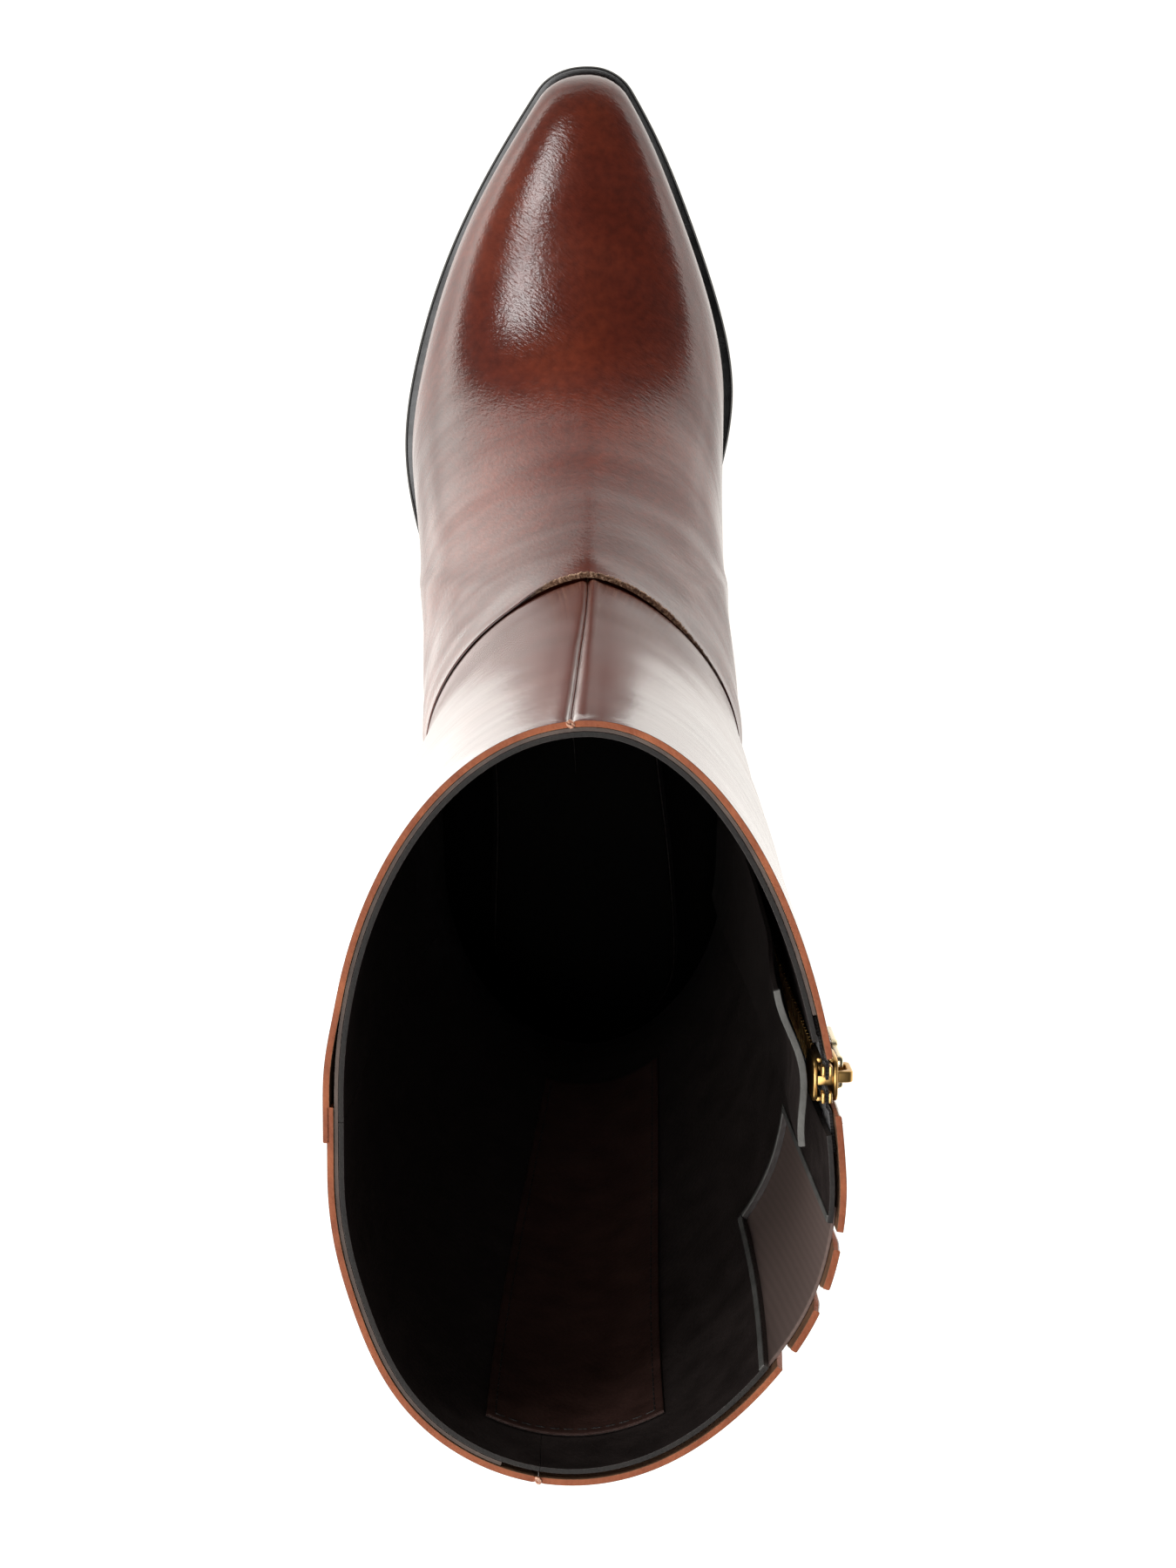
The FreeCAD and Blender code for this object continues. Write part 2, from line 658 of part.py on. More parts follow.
def shaft_parts():
    bottom = SEAM_FRONT - LAP
    levels = graded_levels(bottom, TOP_LEVEL, 18)
    inner_levels = even_levels(bottom, TOP_LEVEL - 0.4, 12)
    zip_front = beside_zip(-ZIP_HALF_GAP)
    zip_rear = beside_zip(ZIP_HALF_GAP)
    joint = 0.25
    gap = 0.2
    cut_out = gore_cutter((4.0, -4.0), 0.0)
    window = gore_cutter((2.0, -6.0), 1.5)
    parts = {
        "shaft_front_lateral": panel(moved(front_seam, joint), moved(side_seam, 4.0), levels,
                                     LEATHER, 20, 1.0, side_lift),
        "shaft_front_medial": panel(zip_front, moved(turned(front_seam, 1), -joint), levels,
                                    LEATHER, 18),
        "shaft_back_lateral": panel(moved(side_seam, -3.0), moved(back_seam, -joint), levels,
                                    LEATHER, 14),
        "shaft_back_medial": panel(moved(back_seam, joint), zip_rear, levels, LEATHER,
                                   18).cut(cut_out).Solids[0],
        "lining_front": panel(beside_zip(-9.0), moved(turned(side_seam, 1), -gap),
                              inner_levels, LINING, 30),
        "lining_back_lateral": panel(moved(side_seam, gap), moved(back_seam, -gap),
                                     inner_levels, LINING, 14),
        "lining_back_medial": panel(moved(back_seam, gap), beside_zip(9.0), inner_levels,
                                    LINING, 18).cut(window).Solids[0],
        "zip_guard": panel(beside_zip(-19.0), beside_zip(12.0),
                           even_levels(SEAM_FRONT + 6, TOP_LEVEL - 6, 10), (-5.3, -6.2), 8),
        "gore_elastic": panel(moved(gore_line(0.0), GORE_LAP), moved(gore_line(1.0), -GORE_LAP),
                              even_levels(GORE_FOOT_LEVEL - 5, TOP_LEVEL - 0.4, 6),
                              STIFFENER, 8),
        "topline_tape": panel(moved(beside_zip(-TAPE_HALF), 1.0),
                              moved(turned(back_seam, 1), -8.0),
                              even_levels(TOP_LEVEL - 16, TOP_LEVEL - 0.4, 3), STIFFENER, 40),
        "lining_back_patch": panel(moved(back_seam, -26.0), moved(back_seam, 26.0),
                                   even_levels(SEAM_FRONT + 50, TOP_LEVEL - 28, 8), PATCH, 10),
    }
    width = (1.0 - 3 * GORE_SLIT / (GORE[1] - GORE[0])) / 2
    slit = GORE_SLIT / (GORE[1] - GORE[0])
    for i in range(2):
        start = slit + i * (width + slit)
        parts[f"gore_strip_{i + 1}"] = panel(gore_line(start), gore_line(start + width),
                                             even_levels(GORE_FOOT_LEVEL + 0.4, TOP_LEVEL, 6),
                                             LEATHER, 5)
    return parts


# ---- the zip: built in its own frame, then set on the boot ---------------------------------
def level_at(line, z):
    """Where a line of the upper passes a height above the floor."""
    level = z - HEEL_PITCH - SEAT_RISE
    for _ in range(6):
        level += z - place(line(level), level).z
    return level


def zip_frame():
    """Placement with local +X down the zip, +Y forwards across it and +Z out of the boot."""
    centre = beside_zip(0.0)
    points = []
    for z in (ZIP_TOP_Z, ZIP_FOOT_Z):
        level = level_at(centre, z)
        points.append(skin(centre(level), level, CHAIN_DEPTH))
    down = (points[1] - points[0]).normalize()
    out = down.cross(Vector(0, -1, 0)).normalize()
    across = out.cross(down).normalize()
    matrix = FreeCAD.Matrix(down.x, across.x, out.x, points[0].x,
                            down.y, across.y, out.y, points[0].y,
                            down.z, across.z, out.z, points[0].z, 0, 0, 0, 1)
    return FreeCAD.Placement(matrix), (points[1] - points[0]).Length


def local_box(x, y, z):
    box = Part.makeBox(x[1] - x[0], y[1] - y[0], z[1] - z[0])
    box.translate(Vector(x[0], y[0], z[0]))
    return box


def zip_tape(frame, length, side):
    """One tape: flat where the slider runs, then following the leather that it is sewn under."""
    back_to_local = frame.inverse()
    grids = ([], [])
    for across in (TAPE_SLIT, 2.6, 4.3, 5.2, 6.4, 9.0, TAPE_HALF):
        line = beside_zip(-side * across)
        rows = ([], [])
        for share in even_levels(-0.012, 1.03, 12):
            level = level_at(line, mix(ZIP_TOP_Z, ZIP_FOOT_Z, share))
            for row, offset in zip(rows, TAPE):
                on_leather = back_to_local.multVec(skin(line(level), level, offset)).z
                follow = smooth((across - 4.25) / 0.9)
                height = mix(offset - CHAIN_DEPTH, on_leather, follow)
                row.append(frame.multVec(Vector(share * length, side * across, height)))
        for grid, row in zip(grids, rows):
            grid.append(row)
    return thin_solid(*grids)


def zip_parts():
    frame, length = zip_frame()
    tape = 0.42                       # half the slot that a tape runs in
    tooth_half = 1.1
    first = SLIDER_LENGTH - 4.0
    count = int((length - first - 4.0) / TOOTH_PITCH)
    rows = {-1: [], 1: []}
    for side, row in rows.items():
        for i in range(count):
            x = first + TOOTH_PITCH * (i + (0.5 if side > 0 else 0.0))
            y = sorted((side * 2.7, -side * 0.75))
            for z in ((-tooth_half, -tape), (tape, tooth_half)):
                row.append(local_box((x, x + 1.1), y, z))
            head = local_box((x, x + 1.1), sorted((-side * 0.75, side * 0.25)), (-tape, tape))
            row[-1] = row[-1].fuse([row[-2], head])
            row.pop(-2)
    plates = []
    for sign in (1, -1):
        z = sorted((sign * 1.45, sign * 2.35))
        wall = sorted((sign * 0.6, sign * 1.46))
        plates.append(local_box((0, SLIDER_LENGTH), (-4.2, 4.2), z))
        plates += [local_box((0, SLIDER_LENGTH), sorted((s * 3.4, s * 4.2)), wall)
                   for s in (-1, 1)]
    post = local_box((0.6, 4.6), (-0.9, 0.9), (-1.5, 1.5))
    bridge = local_box((3.2, 12.0), (-1.1, 1.1), (2.3, 5.6))
    bridge = bridge.cut(local_box((5.0, 10.2), (-2, 2), (2.3, 4.2)))
    slider = plates[0].fuse(plates[1:] + [post, bridge]).removeSplitter()
    eye = (7.6, 3.25)                 # pull hinge in the bridge's window: down, out
    thick = 0.75                      # half the pull's thickness
    bar = Part.makeCylinder(thick, 6.4, Vector(eye[0], -3.2, eye[1]), Vector(0, 1, 0))
    up = (eye[1] - thick, eye[1] + thick)
    stem = local_box((eye[0], eye[0] + 11.0), (-3.2, 3.2), up)
    stem = stem.cut(local_box((0, eye[0] + 7.2), (-1.9, 1.9), (0, 9)))
    blade = local_box((eye[0] + 10.0, eye[0] + PULL_LENGTH), (-4.0, 4.0), up)
    rounded = [e for e in blade.Edges if abs(e.Length - 2 * thick) < 0.01]
    blade = blade.makeFillet(2.4, rounded)
    pull = bar.fuse([stem, blade]).removeSplitter()
    stops = [local_box((-3.4, -0.4), sorted((s * 1.5, s * 3.6)), (-1.0, 1.0)).cut(
        local_box((-9, 9), (-9, 9), (-tape, tape))) for s in (-1, 1)]
    stop_solids = [solid for stop in stops for solid in stop.Solids]
    end = first + TOOTH_PITCH * count + 1.2
    print("slider's room to travel", round(end - SLIDER_LENGTH, 2))
    foot = local_box((end, end + 4.5), (-3.6, 3.6), (-1.3, 1.3)).cut(
        local_box((end - 1, end + 9), (-9, 9), (-tape, tape)))
    foot = foot.fuse(local_box((end, end + 4.5), (-0.28, 0.28), (-1.0, 1.0)))
    parts = {
        "zip_teeth_front": Part.makeCompound(rows[1]),
        "zip_teeth_rear": Part.makeCompound(rows[-1]),
        "zip_top_stops": Part.makeCompound(stop_solids),
        "zip_bottom_stop": foot,
        "zip_slider": slider,
        "zip_pull": pull,
    }
    for shape in parts.values():
        shape.Placement = frame.multiply(shape.Placement)
    parts["zip_tape_front"] = zip_tape(frame, length, 1)
    parts["zip_tape_rear"] = zip_tape(frame, length, -1)
    hinge = frame.multVec(Vector(eye[0], 0, eye[1]))
    down = frame.Rotation.multVec(Vector(1, 0, 0))
    across = frame.Rotation.multVec(Vector(0, 1, 0))
    print("zip length", round(length, 2))
    print("zip down", [round(v, 5) for v in down])
    print("pull hinge at", [round(v, 3) for v in hinge], "axis", [round(v, 5) for v in across])
    return parts


def main():
    os.makedirs("parts", exist_ok=True)
    parts = insole_parts()
    parts.update(heel_parts())
    parts = fix_heel(parts)
    parts.update(foot_parts())
    parts.update(shaft_parts())
    parts.update(zip_parts())
    low, high = Vector(1e9, 1e9, 1e9), Vector(-1e9, -1e9, -1e9)
    for name, shape in parts.items():
        shape.exportStep(f"parts/{name}.step")
        box = shape.BoundBox
        low = Vector(min(low.x, box.XMin), min(low.y, box.YMin), min(low.z, box.ZMin))
        high = Vector(max(high.x, box.XMax), max(high.y, box.YMax), max(high.z, box.ZMax))
        if not shape.isValid() or shape.Volume <= 0:
            print("check", name, shape.isValid(), round(shape.Volume, 1))
    print(len(parts), "nodes, box", [round(v, 1) for v in low], [round(v, 1) for v in high])


main()
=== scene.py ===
"""A left tall riding boot in polished brown leather, seen from above its open shaft.

The upper is one smooth surface, worked out here as the CAD source works it out. A place on it is
(turn, level): turn runs once round the boot, from the front centre over the lateral side to the
back and over the medial side to the front again, and level climbs from the sole to the topline.
The shape functions work in millimetres, and every mesh is written in metres.
"""
import math

import bmesh
import bpy
import numpy as np
from mathutils import Matrix, Vector


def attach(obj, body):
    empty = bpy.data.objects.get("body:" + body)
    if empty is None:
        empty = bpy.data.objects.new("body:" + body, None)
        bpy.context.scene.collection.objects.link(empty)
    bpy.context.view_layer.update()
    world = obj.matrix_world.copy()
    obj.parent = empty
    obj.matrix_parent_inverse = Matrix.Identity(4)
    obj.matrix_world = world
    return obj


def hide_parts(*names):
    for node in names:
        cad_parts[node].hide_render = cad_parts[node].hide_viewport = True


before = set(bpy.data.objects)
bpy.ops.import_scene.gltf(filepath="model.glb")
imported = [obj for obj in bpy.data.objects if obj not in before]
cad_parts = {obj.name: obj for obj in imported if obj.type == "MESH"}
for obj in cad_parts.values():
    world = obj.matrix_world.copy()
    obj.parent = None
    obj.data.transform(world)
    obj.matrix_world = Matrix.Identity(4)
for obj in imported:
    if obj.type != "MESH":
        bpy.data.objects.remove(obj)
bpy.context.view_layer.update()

MM = 0.001

# ---- driving dimensions, as in the CAD source ----------------------------------------------
TOE_Y = -146.5
SOLE_LENGTH = 282.0
TOP_Z = 400.0
HEEL_PITCH = 28.5
TOE_SPRING = 8.0
TREAD = (60.0, 108.0)
HEEL_BREAST = 224.0
OUTSOLE = 4.2
WELT = 2.1
INSOLE_BOARD = 2.0
SOCK = 2.0
LAYER_GAP = 0.1
FEATHER_INSET = 3.0
SEAM_FRONT = 104.0
SEAM_BACK = 82.0
LAP = 7.0
ANKLE_RISE = 0.95
SIDE_RISE = 0.75
SIDE_SEAM = 223.0
SEAT_RISE = OUTSOLE + LAYER_GAP + WELT + LAYER_GAP
TOP_LEVEL = TOP_Z - HEEL_PITCH - SEAT_RISE
LEATHER = (0.0, -1.4)
LINING = (-2.3, -3.3)
PATCH = (-3.4, -4.2)
ZIP_ALONG = (209.0, 216.0)      # at the foot of the zip and at its top
ZIP_Z = (144.0, 394.0)
ZIP_HALF = (39.5, 46.8)
ZIP_HALF_GAP = 5.4
TAPE_SLIT = 0.95
TAPE_HALF = 13.0
TAPE = (-1.6, -2.15)
CHAIN_DEPTH = -1.9
TOOTH_PITCH = 3.0
SLIDER_LENGTH = 15.0
PULL_LENGTH = 25.0
PULL_EYE = (7.6, 0.0, 3.25)     # in the zip's own frame
GORE = (244.0, 270.5)
GORE_SLANT = (0.06, 0.13)
GORE_DEPTH = 74.0
GORE_SLIT = 2.6
GORE_LAP = 4.0
ROUND = 400.0                   # millimetres that one whole turn is taken to be

# ---- sizes of the visual model --------------------------------------------------------------
JOINT = 0.04                    # half the gap where two leathers meet edge to edge
LINING_STEP = 3.0               # from the foot lining's upper edge to the shaft's foot
GUARD = (-5.3, -6.2)            # a layer's two sides, as LEATHER and LINING are
GUARD_SIDES = (12.0, -19.0)     # from the zip's middle: its rear edge and its front one
ZIP_LINING = 9.0                # from the zip's middle to the lining's edges beside it
WEB = (-1.5, -2.2)              # the elastic's layer
WINDOW_STEP = 1.5               # how much larger the lining's window is than the leather's
GORE_STRIPS = 2
RAW_SPAN = (-56.0, 17.0)        # the ankle's torn edge, from the front centre
PATCH_SIDES = (-13.0, 28.0)     # the lining's sewn patch, from the back seam
PATCH_LEVELS = (SEAM_FRONT + 62, TOP_LEVEL - 17)
TOP_PIECE = 5.5
LIFTS = 4
CAMERA_AT = (0.0, -0.0679, 1.086)       # metres
CAMERA_TILT = math.radians(6.7)
LENS = 85.72


# ---- the boot's surface ---------------------------------------------------------------------
def smooth(x):
    x = np.clip(x, 0.0, 1.0)
    return x * x * x * (x * (6 * x - 15) + 10)


def mix(a, b, k):
    return a + (b - a) * k


def spline(points):
    """Natural cubic spline through (position, value) pairs, held at its ends."""
    x, y = np.array(points, float).T
    span = np.diff(x)
    last = len(x) - 1
    system, right = np.eye(last + 1), np.zeros(last + 1)
    for i in range(1, last):
        system[i, i - 1:i + 2] = span[i - 1], 2 * (span[i - 1] + span[i]), span[i]
        right[i] = 6 * ((y[i + 1] - y[i]) / span[i] - (y[i] - y[i - 1]) / span[i - 1])
    bend = np.linalg.solve(system, right)

    def value(at):
        at = np.clip(at, x[0], x[-1])
        i = np.clip(np.searchsorted(x, at, side="right") - 1, 0, last - 1)
        a, b = (x[i + 1] - at) / span[i], (at - x[i]) / span[i]
        bow = ((a ** 3 - a) * bend[i] + (b ** 3 - b) * bend[i + 1]) * span[i] ** 2 / 6
        return a * y[i] + b * y[i + 1] + bow

    return value


LATERAL, MEDIAL = 1, -1
SOLE_EDGE = {
    LATERAL: spline([(0, 10.2), (24, 25.6), (53, 40.2), (84, 49.8), (109, 52.8), (131, 49.4),
                     (152, 43), (178, 36), (205, 33), (235, 33.5), (282, 34)]),
    MEDIAL: spline([(0, 8.6), (18, 18.9), (40, 28.4), (63, 36.4), (92, 41.8), (114, 38.6),
                    (135, 32.5), (160, 27), (185, 26), (212, 29), (240, 31.5), (282, 32)]),
}
BODY_HALF = {
    LATERAL: spline([(0, 8), (24, 23.2), (53, 37.5), (84, 46.6), (109, 49.6), (131, 47),
                     (152, 44.5), (178, 42.5), (205, 41), (235, 39), (282, 37)]),
    MEDIAL: spline([(0, 6.6), (18, 16.6), (40, 26), (63, 33.6), (92, 38.2), (114, 37.8),
                    (135, 37.5), (160, 37.5), (185, 38.3), (212, 38.5), (240, 37.5), (282, 36)]),
}
LATERAL_SHAFT = spline([(0, 41), (90, 41.5), (180, 44.5), (270, 47.4), (TOP_LEVEL, 49)])
FRONT_ROUND = {
    LATERAL: spline([(0, 48), (60, 48), (150, 52), (264, 60), (TOP_LEVEL, 72)]),
    MEDIAL: spline([(0, 48), (60, 48), (150, 55), (264, 70), (TOP_LEVEL, 97)]),
}
BACK_ROUND = {
    LATERAL: spline([(0, 33), (40, 37), (90, 54), (200, 60), (TOP_LEVEL, 60)]),
    MEDIAL: spline([(0, 32), (40, 37), (90, 52), (200, 58), (TOP_LEVEL, 60)]),
}
CALF_LEAN = 3.0
BACK_LINE = spline([(0, 279), (12, 281.6), (28, 282), (48, 277.5), (72, 268), (100, 261.5),
                    (130, 261), (170, 265.5), (220, 274), (270, 283.5), (320, 290.5),
                    (TOP_LEVEL, 293)])
FRONT_POINTS = [(3, 0), (3.3, 8), (5.6, 14.5), (11, 20.5), (22, 26.5), (40, 32.5), (62, 38),
                (84, 45.5), (103, 58.2), (118, 72.5), (129.5, 87.5), (136.5, 101.5),
                (139.8, 120), (141.5, 150), (143, 200), (145.2, 290), (147.2, TOP_LEVEL)]
DOME_POWER = (6.0, 5.6)
DOME_ROUND = 0.68
TOE_CORNER = 6.5


def front_line(samples=3000):
    """The front centre line: distance walked along it, along and level, all rising."""
    points = np.array(FRONT_POINTS, float)
    walked = np.concatenate([[0], np.cumsum(np.hypot(*np.diff(points, axis=0).T))])
    steps = np.linspace(0, walked[-1], samples + 1)
    lines = [spline(list(zip(walked, column)))(steps) for column in points.T]
    rising = [np.maximum.accumulate(line) + np.arange(samples + 1) * 1e-7 for line in lines]
    return steps, *rising


FRONT_STEPS, FRONT_ALONGS, FRONT_LEVELS = front_line()


def ground(along):
    """Height of the outsole's underside."""
    spring = TOE_SPRING * (np.clip(TREAD[0] - along, 0, None) / TREAD[0]) ** 2
    return spring + HEEL_PITCH * smooth((along - TREAD[1]) / (HEEL_BREAST - 2 - TREAD[1]))


def quarter(reach):
    return np.sqrt(np.clip(1 - (1 - np.clip(reach, 0, 1)) ** 2, 0, None))


def zip_along(level):
    z = level + HEEL_PITCH + SEAT_RISE
    return mix(*ZIP_ALONG, (z - ZIP_Z[0]) / (ZIP_Z[1] - ZIP_Z[0]))


def shaft_rounding(side, along, level):
    front = np.interp(level, FRONT_LEVELS, FRONT_ALONGS)
    shin = 1 - (1 - np.clip((along - front) / FRONT_ROUND[side](level), 0, 1)) ** 2
    sharpness = mix(0.65, 0.50, smooth((level - 90) / 200))
    return shin, sharpness, quarter((BACK_LINE(level) - along) / BACK_ROUND[side](level))


def shaft_half(side, level):
    if side == LATERAL:
        return LATERAL_SHAFT(level)
    at_zip = mix(*ZIP_HALF, (level - SEAM_FRONT) / (TOP_LEVEL - SEAM_FRONT))
    shin, sharpness, calf = shaft_rounding(side, zip_along(level), level)
    return at_zip / (shin ** sharpness * calf)


def toe_corner(along):
    corner = np.clip(along / TOE_CORNER, 0, 1)
    return (1 - (1 - corner) ** 2.4) ** (1 / 2.4)


def half_width(side, along, level):
    """From the centre plane to the upper's outer surface, for an array of alongs."""
    ridge = np.interp(along, FRONT_ALONGS, FRONT_LEVELS)
    width = mix(SOLE_EDGE[side](along) - FEATHER_INSET, BODY_HALF[side](along),
                smooth(level / 30))
    width = mix(width, shaft_half(side, max(level, 60)), smooth((level - 45) / 70))
    width = width * toe_corner(along - FEATHER_INSET)
    power = mix(*DOME_POWER, smooth(along / 90))
    dome = 1 - np.clip(level / np.maximum(ridge, 1e-6), 0, 1) ** power
    shin, sharpness, calf = shaft_rounding(side, along, level)
    upright = smooth((level - 50) / 55)
    opened = np.clip(mix(dome, shin, upright), 0, None) ** mix(DOME_ROUND, sharpness, upright)
    return width * opened * calf


def lean(along, level):
    back = BACK_LINE(level)
    return CALF_LEAN * smooth(level / TOP_LEVEL) * smooth((along - back + 43) / 43)


LEVELS = np.concatenate([np.arange(0, 60, 0.25), np.arange(60, 120, 0.5),
                         np.linspace(120, TOP_LEVEL, 124)])
TURNS = np.linspace(0, 1, 1201)


def ring(level, samples=420):
    """x and along of the upper's outline at one level, for every one of TURNS."""
    start, end = np.interp(level, FRONT_LEVELS, FRONT_ALONGS), BACK_LINE(level)
    alongs = mix(start, end, (1 - np.cos(np.linspace(0, math.pi, samples + 1))) / 2)
    sides = []
    for side in (LATERAL, MEDIAL):
        xs = side * half_width(side, alongs, level) + lean(alongs, level)
        xs[0], xs[-1] = 0.0, lean(end, level)
        sides.append(xs)
    xs = np.concatenate([sides[0], sides[1][-2::-1]])
    alongs = np.concatenate([alongs, alongs[-2::-1]])
    walked = np.concatenate([[0], np.cumsum(np.hypot(np.diff(xs), np.diff(alongs)))])
    share = walked / walked[-1]
    return np.interp(TURNS, share, xs), np.interp(TURNS, share, alongs), share[samples]


RINGS = [ring(level) for level in LEVELS]
RING_X = np.array([r[0] for r in RINGS])
RING_ALONG = np.array([r[1] for r in RINGS])
BACK_TURN = np.array([r[2] for r in RINGS])


def seam_level(turn):
    return mix(SEAM_BACK, SEAM_FRONT, (1 + np.cos(2 * math.pi * turn)) / 2)


def true_level(turn, level):
    """Levels follow the tilt of the ankle seam: SEAM_FRONT is the seam all the way round."""
    seam = seam_level(turn)
    above = TOP_LEVEL - (TOP_LEVEL - level) * (TOP_LEVEL - seam) / (TOP_LEVEL - SEAM_FRONT)
    return np.where(level <= SEAM_FRONT, level * seam / SEAM_FRONT, above)


def place(turn, level):
    """Points on the leather's outer surface, in millimetres."""
    level = true_level(turn, level)
    row = np.interp(level, LEVELS, np.arange(len(LEVELS)))
    column = np.mod(turn, 1.0) * (len(TURNS) - 1)
    i = np.minimum(row.astype(int), len(LEVELS) - 2)
    j = np.minimum(column.astype(int), len(TURNS) - 2)
    di, dj = row - i, column - j

    def read(table):
        low = mix(table[i, j], table[i, j + 1], dj)
        return mix(low, mix(table[i + 1, j], table[i + 1, j + 1], dj), di)

    along = read(RING_ALONG)
    rise = mix(ground(along), HEEL_PITCH, smooth(level / 120)) + SEAT_RISE
    return np.stack([read(RING_X), along + TOE_Y, level + rise], -1)


def normals(turn, level):
    low, high = np.maximum(level - 0.8, 0), np.minimum(level + 0.8, TOP_LEVEL)
    about = place(turn + 0.003, level) - place(turn - 0.003, level)
    out = np.cross(about, place(turn, high) - place(turn, low))
    return out / np.linalg.norm(out, axis=-1, keepdims=True)


def skin(turn, level, offset):
    """Points at an offset from the outer surface, positive outwards."""
    turn, level, offset = np.broadcast_arrays(*(np.asarray(v, float) for v in
                                                (turn, level, offset)))
    return place(turn, level) + normals(turn, level) * offset[..., None]


def turn_at(side, along, level):
    """The turn at which the surface, at each of these levels, stands this far behind the toe."""
    level = np.atleast_1d(np.asarray(level, float))
    along = np.broadcast_to(along, level.shape)
    turn = np.full(level.shape, 0.25 if side == LATERAL else 0.75)
    for _ in range(4):
        rows = np.interp(true_level(turn, level), LEVELS, np.arange(len(LEVELS)))
        for n, row in enumerate(rows):
            i = min(int(row), len(LEVELS) - 2)
            alongs = mix(RING_ALONG[i], RING_ALONG[i + 1], row - i)
            back = int(alongs.argmax())
            if side == LATERAL:
                turn[n] = np.interp(along[n], alongs[:back + 1], TURNS[:back + 1])
            else:
                turn[n] = np.interp(along[n], alongs[back:][::-1], TURNS[back:][::-1])
    return turn


# ---- seams: each gives a turn for every level -----------------------------------------------
def above_ankle(level):
    return smooth((level - SEAM_FRONT) / (TOP_LEVEL - SEAM_FRONT))


def side_seam(level):
    return turn_at(LATERAL, SIDE_SEAM, level)


def front_seam(level):
    return 0.0085 * np.clip((level - SEAM_FRONT) / (TOP_LEVEL - SEAM_FRONT), 0, 1)


def back_seam(level):
    return np.interp(level, LEVELS, BACK_TURN) - 0.017 * above_ankle(level)


def vamp_edge(side):
    return lambda level: turn_at(side, 168.0 + 37.0 * level / SEAM_FRONT, level)


def beside_zip(distance):
    return lambda level: turn_at(MEDIAL, zip_along(true_level(0.72, level)) + distance, level)


def gore_line(share):
    slant = mix(*GORE_SLANT, share)
    return lambda level: turn_at(MEDIAL, mix(*GORE, share) - slant * (TOP_LEVEL - level), level)


def moved(line, distance, whole_turns=0):
    return lambda level: line(level) + distance / ROUND + whole_turns


def ankle_lift(turn, level):
    around = np.abs(np.mod(np.asarray(turn) + 0.5, 1.0) - 0.5) * ROUND
    return ANKLE_RISE * smooth((level - 58) / 38) * (1.5 - 0.5 * smooth((around - 8) / 26))


def by_level(line, turn, level):
    """A seam's turn at every point, worked out once for each different level."""
    different, where = np.unique(np.round(level, 6), return_inverse=True)
    return line(different)[where].reshape(np.shape(level))


def side_lift(turn, level):
    past = (turn - by_level(side_seam, turn, level)) * ROUND
    return SIDE_RISE * smooth((past + 26) / 20)


def counter_lift(turn, level):
    past = (turn - by_level(side_seam, turn, level)) * ROUND
    hump = smooth((past + 26) / 20) * (1 - smooth((past - 6) / 10))
    return ankle_lift(turn, level) + SIDE_RISE * hump * smooth((level - 80) / 16)


# ---- meshes ---------------------------------------------------------------------------------
SHARP = math.radians(50)


def new_object(name, points, faces, materials, face_slots=None, uv=None):
    """A mesh object from points in millimetres."""
    mesh = bpy.data.meshes.new(name)
    mesh.from_pydata((np.asarray(points) * MM).tolist(), [], faces)
    for material in materials:
        mesh.materials.append(material)
    if face_slots is not None:
        mesh.polygons.foreach_set("material_index", np.asarray(face_slots, np.int32))
    if uv is not None:
        layer = mesh.uv_layers.new(name="cut")
        corners = np.zeros(len(mesh.loops), np.int32)
        mesh.loops.foreach_get("vertex_index", corners)
        layer.data.foreach_set("uv", (np.asarray(uv) * MM)[corners].astype(np.float32).ravel())
    mesh.polygons.foreach_set("use_smooth", [True] * len(mesh.polygons))
    mesh.validate()
    mesh.set_sharp_from_angle(angle=SHARP)
    thing = bpy.data.objects.new(name, mesh)
    bpy.context.scene.collection.objects.link(thing)
    return thing


def merged(parts):
    """Several (points, faces) as one."""
    points, faces, count = [], [], 0
    for part_points, part_faces in parts:
        points.append(np.asarray(part_points))
        faces += [[v + count for v in face] for face in part_faces]
        count += len(part_points)
    return np.concatenate(points), faces


def grid_faces(first, rows, columns, flip=False):
    """Quads of a grid whose points are numbered row by row."""
    index = first + np.arange(rows * columns).reshape(rows, columns)
    quads = np.stack([index[:-1, :-1], index[1:, :-1], index[1:, 1:], index[:-1, 1:]], -1)
    quads = quads.reshape(-1, 4)
    return (quads[:, ::-1] if flip else quads).tolist()


def loop_mesh(loops):
    """Skin over loops of points, the same number each, closed by the first and last loops."""
    count = len(loops[0])
    index = np.arange(count * len(loops)).reshape(len(loops), count)
    turned = np.roll(index, -1, axis=1)
    faces = np.stack([index[:-1], turned[:-1], turned[1:], index[1:]], -1).reshape(-1, 4)
    return np.concatenate(loops), faces.tolist() + [index[0, ::-1].tolist(), index[-1].tolist()]


def thin_solid(outer, inner, flip=False):
    """Points and faces of a closed sheet between two grids: outer, inner, then the rim."""
    rows, columns = outer.shape[:2]
    shift = rows * columns
    faces = grid_faces(0, rows, columns, flip) + grid_faces(shift, rows, columns, not flip)
    index = np.arange(shift).reshape(rows, columns)
    border = np.concatenate([index[:, 0], index[-1, 1:], index[-2::-1, -1], index[0, -2:0:-1]])
    if flip:
        border = border[::-1]
    following = np.roll(border, -1)
    faces += np.stack([border, border + shift, following + shift, following], -1).tolist()
    return np.concatenate([outer.reshape(-1, 3), inner.reshape(-1, 3)]), faces


def rounding(distance, radius):
    """How far a rounded edge has dropped, at a distance in from the edge."""
    d = np.clip(distance, 0, radius)
    return radius - np.sqrt(np.clip(radius ** 2 - (radius - d) ** 2, 0, None))


